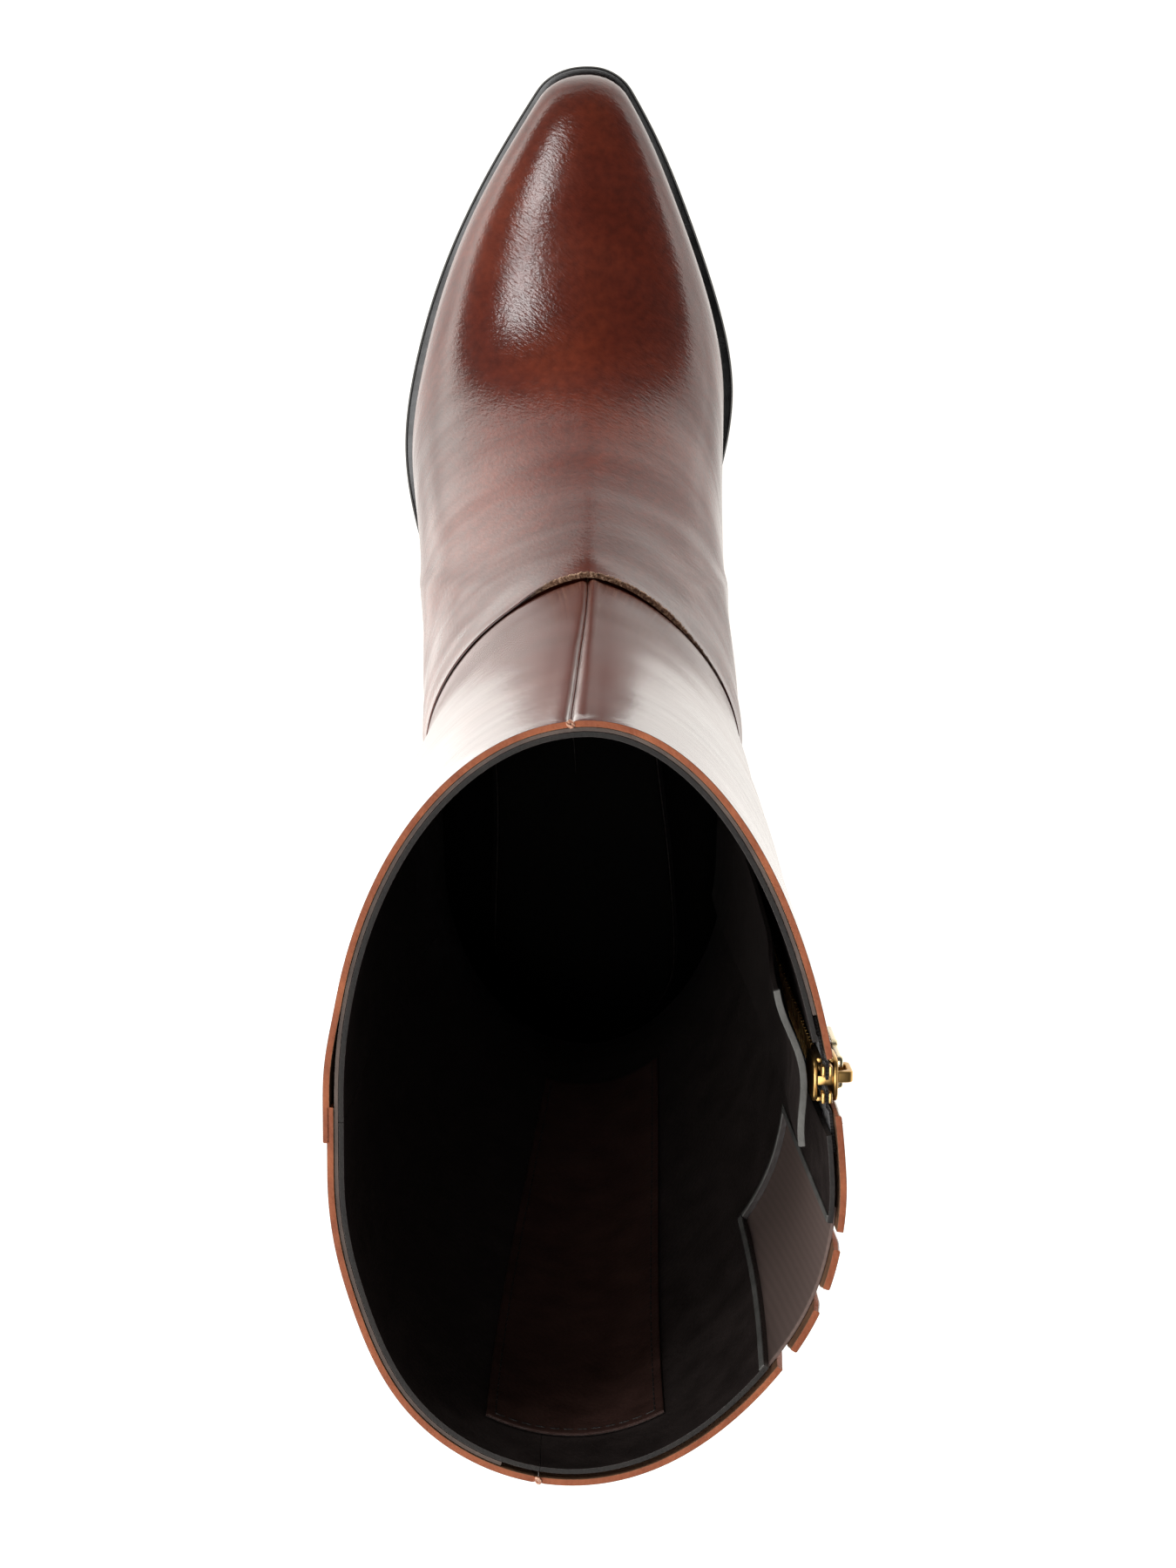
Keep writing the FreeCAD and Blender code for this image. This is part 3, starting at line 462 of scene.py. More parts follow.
def rim_steps(length, step, radii):
    """Distances from 0 to length, close together where either end is rounded."""
    starts = [radii[0] * s for s in (0, 0.06, 0.22, 0.5, 0.85)] + [radii[0] * 1.4 + 0.1]
    ends = [length - radii[1] * s for s in (0, 0.06, 0.22, 0.5, 0.85)]
    ends.append(length - radii[1] * 1.4 - 0.1)
    count = max(2, round((ends[-1] - starts[-1]) / step) + 1)
    return np.concatenate([starts[:-1], np.linspace(starts[-1], ends[-1], count),
                           ends[-2::-1]])


SQUARE = (0.08, 0.08, 0.08, 0.08)


def panel(name, slot, node, start, end, levels, layer, materials, radii=(0.3, 0.3, 0.3, 0.3),
          step=1.6, lift=None, relief=None, hole=None, through=(), rows=()):
    """Thin closed leather between two lines, with rounded edges, in place of a CAD node.

    levels is (low, high) or, on the foot, ("front", low, high) to space them along the vamp.
    radii are the edges' roundings at start, end, low and high. materials are for the outside,
    the inside and the cut edge, and a fourth one for the upper edge alone. Columns of the mesh
    follow the lines in through, and rows of it the levels in rows, so that a hole cut along
    them has clean sides.
    """
    if levels[0] == "front":
        reach = np.interp(levels[1:], FRONT_LEVELS, FRONT_STEPS)
        drops = rim_steps(reach[1] - reach[0], step, radii[2:])
        level = np.interp(reach[0] + drops, FRONT_STEPS, FRONT_LEVELS)
    else:
        drops = rim_steps(levels[1] - levels[0], step, radii[2:])
        drops = np.union1d(drops, np.asarray(rows, float) - levels[0])
        level = levels[0] + drops
    lines = np.array([line(level) for line in (start, *through, end)])
    across = np.abs(lines[-1] - lines[0]) * ROUND
    width = float(np.median(across))
    knots = np.median((lines - lines[0]) / (lines[-1] - lines[0]), axis=1)
    shares = np.union1d(rim_steps(width, step, radii[:2]) / width, knots)
    turn = np.stack([np.interp(shares, knots, places) for places in lines.T], axis=1)
    level_grid = np.broadcast_to(level, turn.shape)
    sideways = shares[:, None] * across
    sunk = np.maximum(rounding(sideways, radii[0]), rounding(across - sideways, radii[1]))
    sunk = np.maximum(sunk, rounding(drops, radii[2])[None, :])
    sunk = np.maximum(sunk, rounding(drops[-1] - drops, radii[3])[None, :])
    raised = np.zeros(turn.shape) if lift is None else lift(turn, level_grid)
    bumps = np.zeros(turn.shape) if relief is None else relief(turn, level_grid)
    thick = layer[0] - layer[1]
    sunk = np.minimum(sunk, thick * 0.48)
    outer = skin(turn, level_grid, layer[0] + raised + bumps - sunk)
    inner = skin(turn, level_grid, layer[1] + raised + np.minimum(sunk, 0.12))
    points, faces = thin_solid(outer, inner)
    rows, columns = turn.shape
    quads = (rows - 1) * (columns - 1)
    slots = [0] * quads + [1] * quads + [2] * (len(faces) - 2 * quads)
    if len(materials) > 3:
        corner = 2 * quads + rows + columns - 2
        slots[corner:corner + rows - 1] = [3] * (rows - 1)
    flat = np.stack([turn * ROUND, level_grid], -1).reshape(-1, 2)
    if hole is not None:
        faces, slots = cut_hole(faces, slots, hole, flat)
    piece = new_object(name, points, faces, materials, slots, np.concatenate([flat, flat]))
    finish_piece(piece, slot, *([node] if node else []))


def cut_hole(faces, slots, hole, flat):
    """Drops the quads that lie in the hole, and walls up the cut."""
    shift = len(flat)
    middles = flat[np.asarray(faces) % shift].mean(axis=1)
    dropped = hole(middles[:, 0] / ROUND, middles[:, 1])
    kept = [face for face, drop in zip(faces, dropped) if not drop]
    kept_slots = [slot for slot, drop in zip(slots, dropped) if not drop]
    sides = {(a, b) for face, slot in zip(kept, kept_slots) if slot == 0
             for a, b in zip(face, face[1:] + face[:1])}
    for face, slot, drop in zip(faces, slots, dropped):
        if not drop or slot:
            continue
        for a, b in zip(face, face[1:] + face[:1]):
            if (b, a) in sides:
                kept.append([b + shift, a + shift, a, b])
                kept_slots.append(2)
    return kept, kept_slots


def finish_piece(thing, slot, *nodes, body="boot"):
    """The piece rides on its body and stands for its CAD nodes, which it hides; slot is not used.
    """
    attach(thing, body)
    if nodes:
        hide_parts(*nodes)


# ---- thread ---------------------------------------------------------------------------------
STITCH_RINGS = np.array([-1.0, -0.86, -0.45, 0.0, 0.45, 0.86, 1.0])
STITCH_SIDES = 7


def stitch_row(points, out, length=2.0, pitch=2.9, radius=0.26, proud=0.45):
    """Points and faces of a row of stitches along a line, given the surface's normals."""
    walked = np.concatenate([[0], np.cumsum(np.linalg.norm(np.diff(points, axis=0), axis=1))])
    count = max(1, int((walked[-1] - length) / pitch))
    middles = np.linspace(length / 2, walked[-1] - length / 2, count + 1)
    along = middles[:, None] + STITCH_RINGS * length / 2
    spine = np.stack([np.interp(along, walked, points[:, k]) for k in range(3)], -1)
    up = np.stack([np.interp(along, walked, out[:, k]) for k in range(3)], -1)
    up /= np.linalg.norm(up, axis=-1, keepdims=True)
    forward = np.gradient(spine, axis=1)
    side = np.cross(up, forward)
    side /= np.linalg.norm(side, axis=-1, keepdims=True)
    thick = radius * np.array([0.35, 0.8, 1, 1.05, 1, 0.8, 0.35])
    height = radius * proud * np.array([-1.2, 0.1, 0.9, 1.0, 0.9, 0.1, -1.2])
    angle = np.arange(STITCH_SIDES) * 2 * math.pi / STITCH_SIDES
    ring_points = (spine + up * height[:, None])[:, :, None, :]
    ring_points = ring_points + (up[:, :, None, :] * np.cos(angle)[:, None]
                                 + side[:, :, None, :] * np.sin(angle)[:, None]
                                 ) * thick[:, None, None]
    one_stitch = [face[::-1] for face in loop_mesh(ring_points[0])[1]]
    size = len(STITCH_RINGS) * STITCH_SIDES
    faces = [[v + n * size for v in face] for n in range(count + 1) for face in one_stitch]
    return ring_points.reshape(-1, 3), faces


def on_upper(turn, level, offset):
    """A line on the upper and its normals."""
    turn, level = np.broadcast_arrays(np.asarray(turn, float), np.asarray(level, float))
    return skin(turn, level, offset), normals(turn, level)


def line_down(line, low, high, offset=0.0, distance=0.0, lift=None):
    """A line beside a seam, and its normals."""
    level = np.linspace(low, high, 240)
    turn = line(level) + distance / ROUND
    raised = 0.0 if lift is None else lift(turn, level)
    return on_upper(turn, level, offset + raised)


def line_round(level, start, end, offset=0.0):
    """A line at one level, and its normals."""
    return on_upper(np.linspace(start, end, 500), level, offset)


# ---- materials ------------------------------------------------------------------------------
def tree_of(name):
    """A new material, its node tree and its shader."""
    material = bpy.data.materials.new(name)
    material.use_nodes = True
    tree = material.node_tree
    tree.nodes.clear()
    out = tree.nodes.new("ShaderNodeOutputMaterial")
    shader = tree.nodes.new("ShaderNodeBsdfPrincipled")
    tree.links.new(shader.outputs[0], out.inputs[0])
    return material, tree, shader


def feed(tree, node, **inputs):
    """Sets a node's sockets to values, or links other nodes' outputs to them.

    A socket goes by its name, with _ for a space, or by i and its number.
    """
    for key, value in inputs.items():
        numbered = key[0] == "i" and key[1:].isdigit()
        socket = node.inputs[int(key[1:]) if numbered else key.replace("_", " ")]
        if isinstance(value, bpy.types.NodeSocket):
            tree.links.new(value, socket)
        else:
            socket.default_value = value


def add(tree, kind, settings=None, **inputs):
    """A new node with its settings and inputs."""
    node = tree.nodes.new("ShaderNode" + kind)
    for key, value in (settings or {}).items():
        setattr(node, key, value)
    feed(tree, node, **inputs)
    return node


def coordinates(tree, scale=(1, 1, 1), source="Object"):
    place_at = add(tree, "TexCoord").outputs[source]
    return add(tree, "Mapping", Vector=place_at, Scale=scale).outputs[0]


def noise(tree, vector, scale, detail=3.0, rough=0.55):
    return add(tree, "TexNoise", Vector=vector, Scale=scale, Detail=detail,
               Roughness=rough).outputs["Fac"]


def cells(tree, vector, scale, output="Distance"):
    return add(tree, "TexVoronoi", Vector=vector, Scale=scale).outputs[output]


def bands(tree, vector, scale, direction, distortion, detail=1.0):
    return add(tree, "TexWave", {"bands_direction": direction}, Vector=vector, Scale=scale,
               Distortion=distortion, Detail=detail).outputs["Fac"]


def ramp(tree, value, stops):
    """A colour ramp over (position, value or colour) stops."""
    node = add(tree, "ValToRGB", i0=value)
    elements = node.color_ramp.elements
    while len(elements) < len(stops):
        elements.new(0.5)
    for element, (at, colour) in zip(elements, stops):
        element.position = at
        element.color = (*((colour,) * 3 if isinstance(colour, (int, float)) else colour), 1)
    return node.outputs[0]


def maths(tree, operation, a, b):
    return add(tree, "Math", {"operation": operation}, i0=a, i1=b).outputs[0]


def times(tree, a, b):
    return maths(tree, "MULTIPLY", a, b)


def plus(tree, a, b):
    return maths(tree, "ADD", a, b)


def part_of(tree, vector, axis):
    return add(tree, "SeparateXYZ", Vector=vector).outputs[axis]


def blended(tree, factor, a, b, kind="MIX"):
    settings = {"data_type": "RGBA", "blend_type": kind}
    return add(tree, "Mix", settings, i0=factor, i6=a, i7=b).outputs[2]


def bump(tree, height, distance, strength):
    return add(tree, "Bump", Height=height, Distance=distance, Strength=strength).outputs[0]


def polished_leather():
    """Burnished brown calf: cloudy, under a brushed gloss, with a painted highlight up the
    instep's lateral side and painted shade on the foot's sides.

    on_cut is the level on the cut pattern, and sideways the distance from the boot's middle:
    both count 125 mm as 1.
    """
    material, tree, shader = tree_of("polished_leather")
    vector = coordinates(tree)
    cloud = noise(tree, vector, 26, 5)
    mottle = noise(tree, vector, 420, 3)
    turned = add(tree, "Mapping", Vector=vector, Rotation=(0.0, 0.0, math.radians(35)))
    drawn_out = add(tree, "Mapping", Vector=turned.outputs[0], Scale=(430, 1250, 900))
    wrinkle = noise(tree, drawn_out.outputs[0], 1.0, 2, 0.6)
    on_cut = part_of(tree, coordinates(tree, (1, 8, 1), "UV"), 1)
    sideways = part_of(tree, coordinates(tree, (8, 1, 1)), 0)
    colour = ramp(tree, cloud, [(0.25, (0.084, 0.0112, 0.0042)), (0.5, (0.120, 0.0166, 0.0064)),
                                (0.75, (0.174, 0.029, 0.0105))])
    speck = ramp(tree, mottle, [(0.3, 0.78), (0.7, 1.2)])
    colour = blended(tree, 1.0, colour, speck, "MULTIPLY")
    # The base colour is darker near the sole and from about 78 mm up, the shaft included, than
    # between about 27 and 78 mm up.
    level_tone = ramp(tree, on_cut, [(0.08, 0.78), (0.22, 1.0), (0.62, 1.0), (0.79, 0.76)])
    # Painted highlight: the base colour is made lighter up the instep, about 40 to 86 mm above
    # the sole, on its lateral side, standing in for a pale reflection there.
    instep = ramp(tree, on_cut, [(0.32, 0.0), (0.42, 0.5), (0.54, 0.5), (0.69, 0.05), (0.8, 0.0)])
    lit_side = ramp(tree, plus(tree, sideways, 0.5),
                    [(0.26, 0.1), (0.46, 0.65), (0.62, 1.0), (0.72, 1.0), (0.83, 0.15)])
    # Painted shade: the base colour darkens towards the foot's sides, from about 27 mm out and
    # between 22 and 100 mm up, by up to about a third.
    at_side = ramp(tree, maths(tree, "ABSOLUTE", sideways, 0.0), [(0.22, 0.0), (0.34, 0.36)])
    on_foot = ramp(tree, on_cut, [(0.18, 0.0), (0.32, 1.0), (0.6, 1.0), (0.8, 0.0)])
    darker = maths(tree, "SUBTRACT", 1.0, times(tree, at_side, on_foot))
    shade = times(tree, plus(tree, level_tone, times(tree, instep, lit_side)), darker)
    brushed = noise(tree, coordinates(tree, (13, 130, 1), "UV"), 1.0, 4, 0.6)
    dull = times(tree, ramp(tree, brushed, [(0.36, 0.32), (0.62, 0.0)]),
                 ramp(tree, on_cut, [(0.83, 1.0), (0.85, 0.3)]))
    height = plus(tree, wrinkle, times(tree, cells(tree, vector, 1700.0), 0.12))
    fine = bump(tree, height, 0.0003, ramp(tree, on_cut, [(0.83, 0.27), (0.86, 0.13)]))
    feed(tree, shader, Base_Color=blended(tree, 1.0, colour, shade, "MULTIPLY"), Roughness=0.5,
         Specular_IOR_Level=0.06, Normal=fine, Coat_Normal=fine, Coat_IOR=1.62,
         Coat_Weight=maths(tree, "SUBTRACT", 1.0, dull),
         Coat_Roughness=ramp(tree, cloud, [(0.3, 0.13), (0.7, 0.2)]))
    return material


def ankle_edge():
    """The vamp's cut edge: raw golden leather at the instep, inked darker round the sides."""
    material, tree, shader = tree_of("ankle_cut_edge")
    vector = coordinates(tree)
    sideways = part_of(tree, vector, 0)
    away = maths(tree, "MAXIMUM", sideways, times(tree, sideways, -0.42))
    rough = noise(tree, vector, 1150, 4, 0.75)
    gold = ramp(tree, rough, [(0.36, (0.05, 0.020, 0.010)), (0.5, (0.26, 0.13, 0.07)),
                              (0.68, (0.85, 0.56, 0.37))])
    fade = ramp(tree, times(tree, away, 40.0), [(0.35, 0.0), (0.62, 1.0)])
    feed(tree, shader, Base_Color=blended(tree, fade, gold, (0.014, 0.008, 0.006, 1.0)),
         Normal=bump(tree, rough, 0.0004, 0.8), Roughness=0.75)
    return material


def plain_leather(name, dark, light, rough=0.5, grain=1300.0, shine=0.5):
    """Uncoated leather: mottled colour and a pebbled grain."""
    material, tree, shader = tree_of(name)
    vector = coordinates(tree)
    mottle = noise(tree, vector, 160, 5)
    fine = noise(tree, vector, grain * 1.7, 2)
    height = plus(tree, cells(tree, vector, grain), times(tree, fine, 0.5))
    feed(tree, shader, Base_Color=ramp(tree, mottle, [(0.3, dark), (0.7, light)]),
         Normal=bump(tree, height, 0.00012, 0.7), Specular_IOR_Level=shine,
         Roughness=ramp(tree, mottle, [(0.2, rough - 0.08), (0.8, rough + 0.08)]))
    return material


def woven(name, dark, light, ribs, across, depth=0.0002, sheen=0.25):
    """Woven tape: ribs one way and a finer weft the other."""
    material, tree, shader = tree_of(name)
    vector = coordinates(tree)
    warp = bands(tree, vector, ribs, "Y", 0.6)
    weft = bands(tree, vector, across, "Z", 0.8)
    weave = times(tree, warp, plus(tree, times(tree, weft, 0.6), 0.4))
    fuzz = noise(tree, vector, 2600, 2)
    shade = plus(tree, times(tree, weave, 0.8), times(tree, fuzz, 0.3))
    feed(tree, shader, Base_Color=ramp(tree, shade, [(0.1, dark), (0.9, light)]), Roughness=0.8,
         Normal=bump(tree, weave, depth, 0.8), Sheen_Weight=sheen, Specular_IOR_Level=0.2)
    return material


def metal(name, colour, rough):
    """Finely brushed, slightly tarnished metal."""
    material, tree, shader = tree_of(name)
    marks = noise(tree, coordinates(tree, (900.0, 225.0, 225.0)), 1.0, 4)
    tint = [tuple(c * k for c in colour) for k in (0.8, 1.05)]
    feed(tree, shader, Base_Color=ramp(tree, marks, [(0.3, tint[0]), (0.7, tint[1])]),
         Roughness=ramp(tree, marks, [(0.2, rough * 0.75), (0.8, rough * 1.3)]),
         Normal=bump(tree, marks, 0.00003, 0.4), Metallic=1.0)
    return material


def rubber(name, dark, light, rough, grain=1.0):
    """Scuffed rubber, or a sole's edge in black ink."""
    material, tree, shader = tree_of(name)
    scuff = noise(tree, coordinates(tree, (60, 300, 60)), 1.0, 5)
    fine = noise(tree, coordinates(tree), 1800, 2)
    feed(tree, shader, Base_Color=ramp(tree, scuff, [(0.35, dark), (0.75, light)]),
         Roughness=ramp(tree, scuff, [(0.2, rough - 0.06), (0.8, rough + 0.12)]),
         Normal=bump(tree, fine, 0.00006 * grain, 0.5))
    return material


def speckled(name, stops, scale):
    """Cork, board and other crumbly fillings."""
    material, tree, shader = tree_of(name)
    grey = add(tree, "RGBToBW", i0=cells(tree, coordinates(tree), scale, "Color")).outputs[0]
    feed(tree, shader, Base_Color=ramp(tree, grey, stops), Roughness=0.85,
         Normal=bump(tree, grey, 0.0002, 0.6))
    return material


def thread(name, dark, light, gloss=0.3):
    """Twisted, waxed sewing thread."""
    material, tree, shader = tree_of(name)
    twist = bands(tree, coordinates(tree), 620.0, "DIAGONAL", 0.5, 2.0)
    feed(tree, shader, Base_Color=ramp(tree, twist, [(0.1, dark), (0.9, light)]),
         Normal=bump(tree, twist, 0.00008, 0.7), Roughness=0.55, Coat_Weight=gloss,
         Coat_Roughness=0.25)
    return material


BROWN = polished_leather()
FLESH = plain_leather("leather_flesh_side", (0.16, 0.075, 0.035), (0.24, 0.12, 0.06), 0.85)
CUT_EDGE = plain_leather("leather_cut_edge", (0.26, 0.066, 0.026), (0.44, 0.135, 0.057), 0.6,
                         shine=0.25)
RAW_EDGE = ankle_edge()
BLACK_LINING = plain_leather("lining_leather", (0.024, 0.0175, 0.016), (0.044, 0.032, 0.029),
                             0.5, 900.0)
GREY_EDGE = plain_leather("lining_cut_edge", (0.09, 0.088, 0.08), (0.165, 0.16, 0.148), 0.8)
LINING_EDGE = plain_leather("lining_top_edge", (0.013, 0.011, 0.010), (0.028, 0.024, 0.021), 0.8)
FOLD_EDGE = plain_leather("topline_fold", (0.085, 0.060, 0.050), (0.16, 0.118, 0.098), 0.8)
PATCH_LEATHER = plain_leather("lining_patch_leather", (0.042, 0.018, 0.013),
                              (0.082, 0.036, 0.027), 0.55, 900.0)
# Painted shade: black leather made near-black, about ten times darker than the black lining,
# standing in for the shadow deep in the foot; it serves the sock, the foot's linings and the
# welt's hidden top.
PAINTED_SHADE_LEATHER = plain_leather("sock_leather_painted_shade", (0.0022, 0.0018, 0.0018), (0.004, 0.0034, 0.0032),
                             0.8, 900.0, shine=0.08)
SOLE_EDGE_BLACK = rubber("sole_edge_black", (0.006, 0.005, 0.005), (0.012, 0.010, 0.010), 0.2,
                         0.3)
SOLE_BLACK = rubber("outsole_rubber", (0.010, 0.010, 0.010), (0.026, 0.025, 0.024), 0.5)
HEEL_BLACK = plain_leather("stacked_heel", (0.008, 0.006, 0.005), (0.018, 0.014, 0.012), 0.3,
                           700.0)
TAPE_BLACK = woven("zip_tape", (0.006, 0.005, 0.005), (0.03, 0.027, 0.025), 500.0, 900.0)
ELASTIC = woven("gore_elastic", (0.185, 0.132, 0.114), (0.212, 0.151, 0.132), 210.0, 620.0,
                0.00003, sheen=0.0)
GOLD = metal("zip_gold", (0.58, 0.35, 0.12), 0.34)
PALE_METAL = metal("zip_pull_metal", (0.78, 0.66, 0.44), 0.24)
STEEL = metal("steel", (0.5, 0.5, 0.52), 0.4)
BROWN_THREAD = thread("brown_thread", (0.05, 0.014, 0.008), (0.16, 0.05, 0.025), 0.9)
BLACK_THREAD = thread("black_thread", (0.006, 0.005, 0.005), (0.03, 0.028, 0.026))
TAN_THREAD = thread("tan_thread", (0.40, 0.16, 0.09), (0.75, 0.42, 0.28))
CORK = speckled("cork", [(0.1, (0.10, 0.045, 0.02)), (0.5, (0.34, 0.19, 0.09)),
                         (0.9, (0.46, 0.30, 0.16))], 520.0)
BOARD = speckled("fibre_board", [(0.1, (0.26, 0.16, 0.09)), (0.9, (0.42, 0.30, 0.19))], 1500.0)
INSOLE = speckled("dark_insole_board", [(0.1, (0.010, 0.008, 0.007)),
                                        (0.9, (0.026, 0.020, 0.017))], 1500.0)
STIFF = speckled("stiffener", [(0.1, (0.52, 0.48, 0.40)), (0.9, (0.70, 0.66, 0.58))], 1200.0)


# ---- the upper's panels ---------------------------------------------------------------------
def waves(turn, level):
    """The slight unevenness of leather pulled over a last."""
    a, b = turn * 2 * math.pi, level
    return (0.10 * np.sin(3 * a + b / 31) + 0.08 * np.sin(5 * a - b / 19 + 1.3)
            + 0.05 * np.sin(9 * a + b / 13 + 0.4) + 0.05 * np.sin(2 * a - b / 9 + 2.1))


def groove(distance, depth, width):
    """A narrow dent at distance 0."""
    return -depth * np.exp(-(distance / width) ** 2)


def shaft_relief(edges=()):
    """Waves, and beside each (line, distance, depth, width) a stitched dent or a ridge."""
    def relief(turn, level):
        fade = smooth((level - SEAM_FRONT + LAP) / 30) * smooth((TOP_LEVEL - level) / 12)
        height = waves(turn, level) * 1.3 * fade - 0.85 * smooth((SEAM_FRONT + 3 - level) / 3)
        height = height - 0.12 * smooth((level - TOP_LEVEL + 9) / 8)
        for line, distance, depth, width in edges:
            past = (turn - by_level(line, turn, level)) * ROUND - distance
            height = height + groove(past, depth, width) * smooth((TOP_LEVEL - level) / 5)
        return height
    return relief


def skived(turn, level):
    """How much the edge over the ankle is thinned, away from the instep."""
    around = (np.mod(turn + 0.5, 1.0) - 0.5) * ROUND
    away = np.maximum(around - 10, -around - 24)
    return 0.75 * smooth((level - SEAM_FRONT + 7) / 6) * smooth(away / 18)


def foot_relief(turn, level):
    """Waves that die out at the sole, with shallow folds where the ankle bends."""
    around = (np.mod(turn + 0.5, 1.0) - 0.5) * ROUND
    bend = np.exp(-((level - 80) / 18) ** 2) * smooth((np.abs(around) - 10) / 30)
    bend = bend * (1 - smooth((np.abs(around) - 62) / 34))
    ripple = 0.19 * np.sin(level / 2.5 - np.abs(around) / 13 + np.sign(around)) * bend
    swell = 0.16 * np.sin(around / 7.5 + level / 5.2) * np.exp(-(around / 45) ** 2)
    fade = smooth(level / 12) * smooth((SEAM_FRONT - level) / 8)
    return (waves(turn, level * 1.4) * 0.8 + ripple + swell * 0.7) * fade - skived(turn, level)


def frayed(turn, level):
    """The roughness of a torn leather edge, dying out at the ends of the torn stretch."""
    around = turn * ROUND
    rough = 0.10 * np.sin(around * 3.1 + 2 * np.sin(around * 0.9)) + 0.08 * np.sin(around * 7.3)
    ends = smooth((around - RAW_SPAN[0]) / 20) * smooth((RAW_SPAN[1] - around) / 7)
    return rough * ends - 0.22 * (1 - ends) - skived(turn, level)


def make_foot():
    """The vamp and the counter cover, their linings, and the ankle's raw edge."""
    # The foot's linings take the near-black leather whose colour is painted shade.
    upper, lining, raw = (BROWN, FLESH, RAW_EDGE), (PAINTED_SHADE_LEATHER,) * 3, (RAW_EDGE,) * 3
    rims = (0.5, 0.5, 0.9, 0.35)
    lining_top = SEAM_FRONT - LAP - LINING_STEP
    low, high = vamp_edge(MEDIAL), vamp_edge(LATERAL)
    front = (moved(low, JOINT, -1), moved(high, -JOINT))
    back = (moved(high, JOINT), moved(low, -JOINT))
    torn = [moved(np.zeros_like, end) for end in RAW_SPAN]
    panel("vamp_leather", "leather_outer", "vamp", *front, ("front", 0.0, SEAM_FRONT), LEATHER,
          upper, rims, 1.3, ankle_lift, foot_relief)
    panel("counter_leather", "leather_outer", "counter_cover", *back, (0.0, SEAM_FRONT), LEATHER,
          upper, rims, 1.5, counter_lift, foot_relief)
    panel("ankle_raw_edge", "leather_outer", None, *torn, (SEAM_FRONT - 0.75, SEAM_FRONT + 0.12),
          (0.10, -1.25), raw, (0.3, 0.3, 0.2, 0.3), 0.35, ankle_lift, frayed)
    panel("vamp_lining_leather", "leather_lining", "vamp_lining", *front,
          ("front", 0.3, lining_top), LINING, lining, SQUARE, 2.6)
    panel("heel_lining_leather", "leather_lining", "heel_lining", *back, (0.0, lining_top),
          LINING, lining, SQUARE, 2.6)


def in_gore(margin):
    """True where a grid's points are in the gore's window."""
    def hole(turn, level):
        front = by_level(gore_line(0.0), turn, level) + margin / ROUND
        rear = by_level(gore_line(1.0), turn, level) - margin / ROUND
        inside = (turn < np.maximum(front, rear)) & (turn > np.minimum(front, rear))
        return inside & (level > TOP_LEVEL - GORE_DEPTH - margin)
    return hole


def guard_wave(turn, level):
    """The guard flap's top hangs a little off the zip, in a soft wave."""
    loose = smooth((level - (TOP_LEVEL - 70)) / 64)
    return -loose * (1.0 + 0.9 * np.sin(turn * ROUND / 4.6))


def make_shaft():
    """Four shaft panels, their linings, the lining's sewn patch and the zip's guard flap."""
    upper, lining = (BROWN, FLESH, CUT_EDGE), (BLACK_LINING,) * 3 + (LINING_EDGE,)
    bottom = SEAM_FRONT - LAP
    tall, inner = (bottom, TOP_LEVEL), (bottom, TOP_LEVEL - 0.3)
    front_end = moved(front_seam, 0, 1)
    back_start, back_end = moved(back_seam, JOINT), moved(back_seam, -JOINT)
    rear, front = gore_line(1.0), gore_line(0.0)
    for name, start, end, radii, lift, dents in (
            ("front_lateral", moved(front_seam, 0.12), moved(side_seam, 4.0), (1.2, 0.35),
             side_lift, [(front_seam, 2.4, -0.2, 1.4), (side_seam, 4.4, 0.55, 2.4)]),
            ("front_medial", beside_zip(-ZIP_HALF_GAP), moved(front_end, -0.12), (0.55, 1.2),
             None, [(front_end, -2.1, -0.6, 1.5)]),
            ("back_lateral", moved(side_seam, -3.0), back_end, (0.3, 1.2), None,
             [(side_seam, -3.0, 0.6, 5.0)])):
        panel(f"shaft_leather_{name}", "leather_outer", f"shaft_{name}", start, end, tall,
              LEATHER, upper, (*radii, 0.3, 0.08), 1.5, lift, shaft_relief(dents))
    panel("shaft_leather_back_medial", "leather_outer", "shaft_back_medial", back_start,
          beside_zip(ZIP_HALF_GAP), tall, LEATHER, upper, (1.2, 0.55, 0.3, 0.08), 1.5, None,
          shaft_relief(), in_gore(0.0), (rear, front), (TOP_LEVEL - GORE_DEPTH,))
    panel("lining_leather_front", "leather_lining", "lining_front", beside_zip(-ZIP_LINING),
          moved(side_seam, -JOINT, 1), inner, LINING, lining, SQUARE, 2.4)
    panel("lining_leather_back_lateral", "leather_lining", "lining_back_lateral",
          moved(side_seam, JOINT), back_end, inner, LINING, lining, SQUARE, 2.4)
    panel("lining_leather_back_medial", "leather_lining", "lining_back_medial", back_start,
          beside_zip(ZIP_LINING), inner, LINING, lining, SQUARE, 2.4, hole=in_gore(WINDOW_STEP),
          through=(moved(rear, -WINDOW_STEP), moved(front, WINDOW_STEP)),
          rows=(TOP_LEVEL - GORE_DEPTH - WINDOW_STEP,))
    panel("lining_back_panel", "leather_lining", "lining_back_patch",
          *(moved(back_seam, side) for side in PATCH_SIDES), PATCH_LEVELS, PATCH,
          (BLACK_LINING, PATCH_LEATHER, PATCH_LEATHER), step=2.0)
    panel("zip_guard_leather", "leather_lining", "zip_guard",
          *(beside_zip(side) for side in GUARD_SIDES), (SEAM_FRONT + 6, TOP_LEVEL - 6), GUARD,
          (BLACK_LINING,) * 3, SQUARE, 1.8, guard_wave)


def eased(line, distance):
    """A strap's side, drawn in towards its middle where it meets the topline."""
    return lambda level: line(level) + distance / ROUND * smooth((level - TOP_LEVEL + 4) / 4)


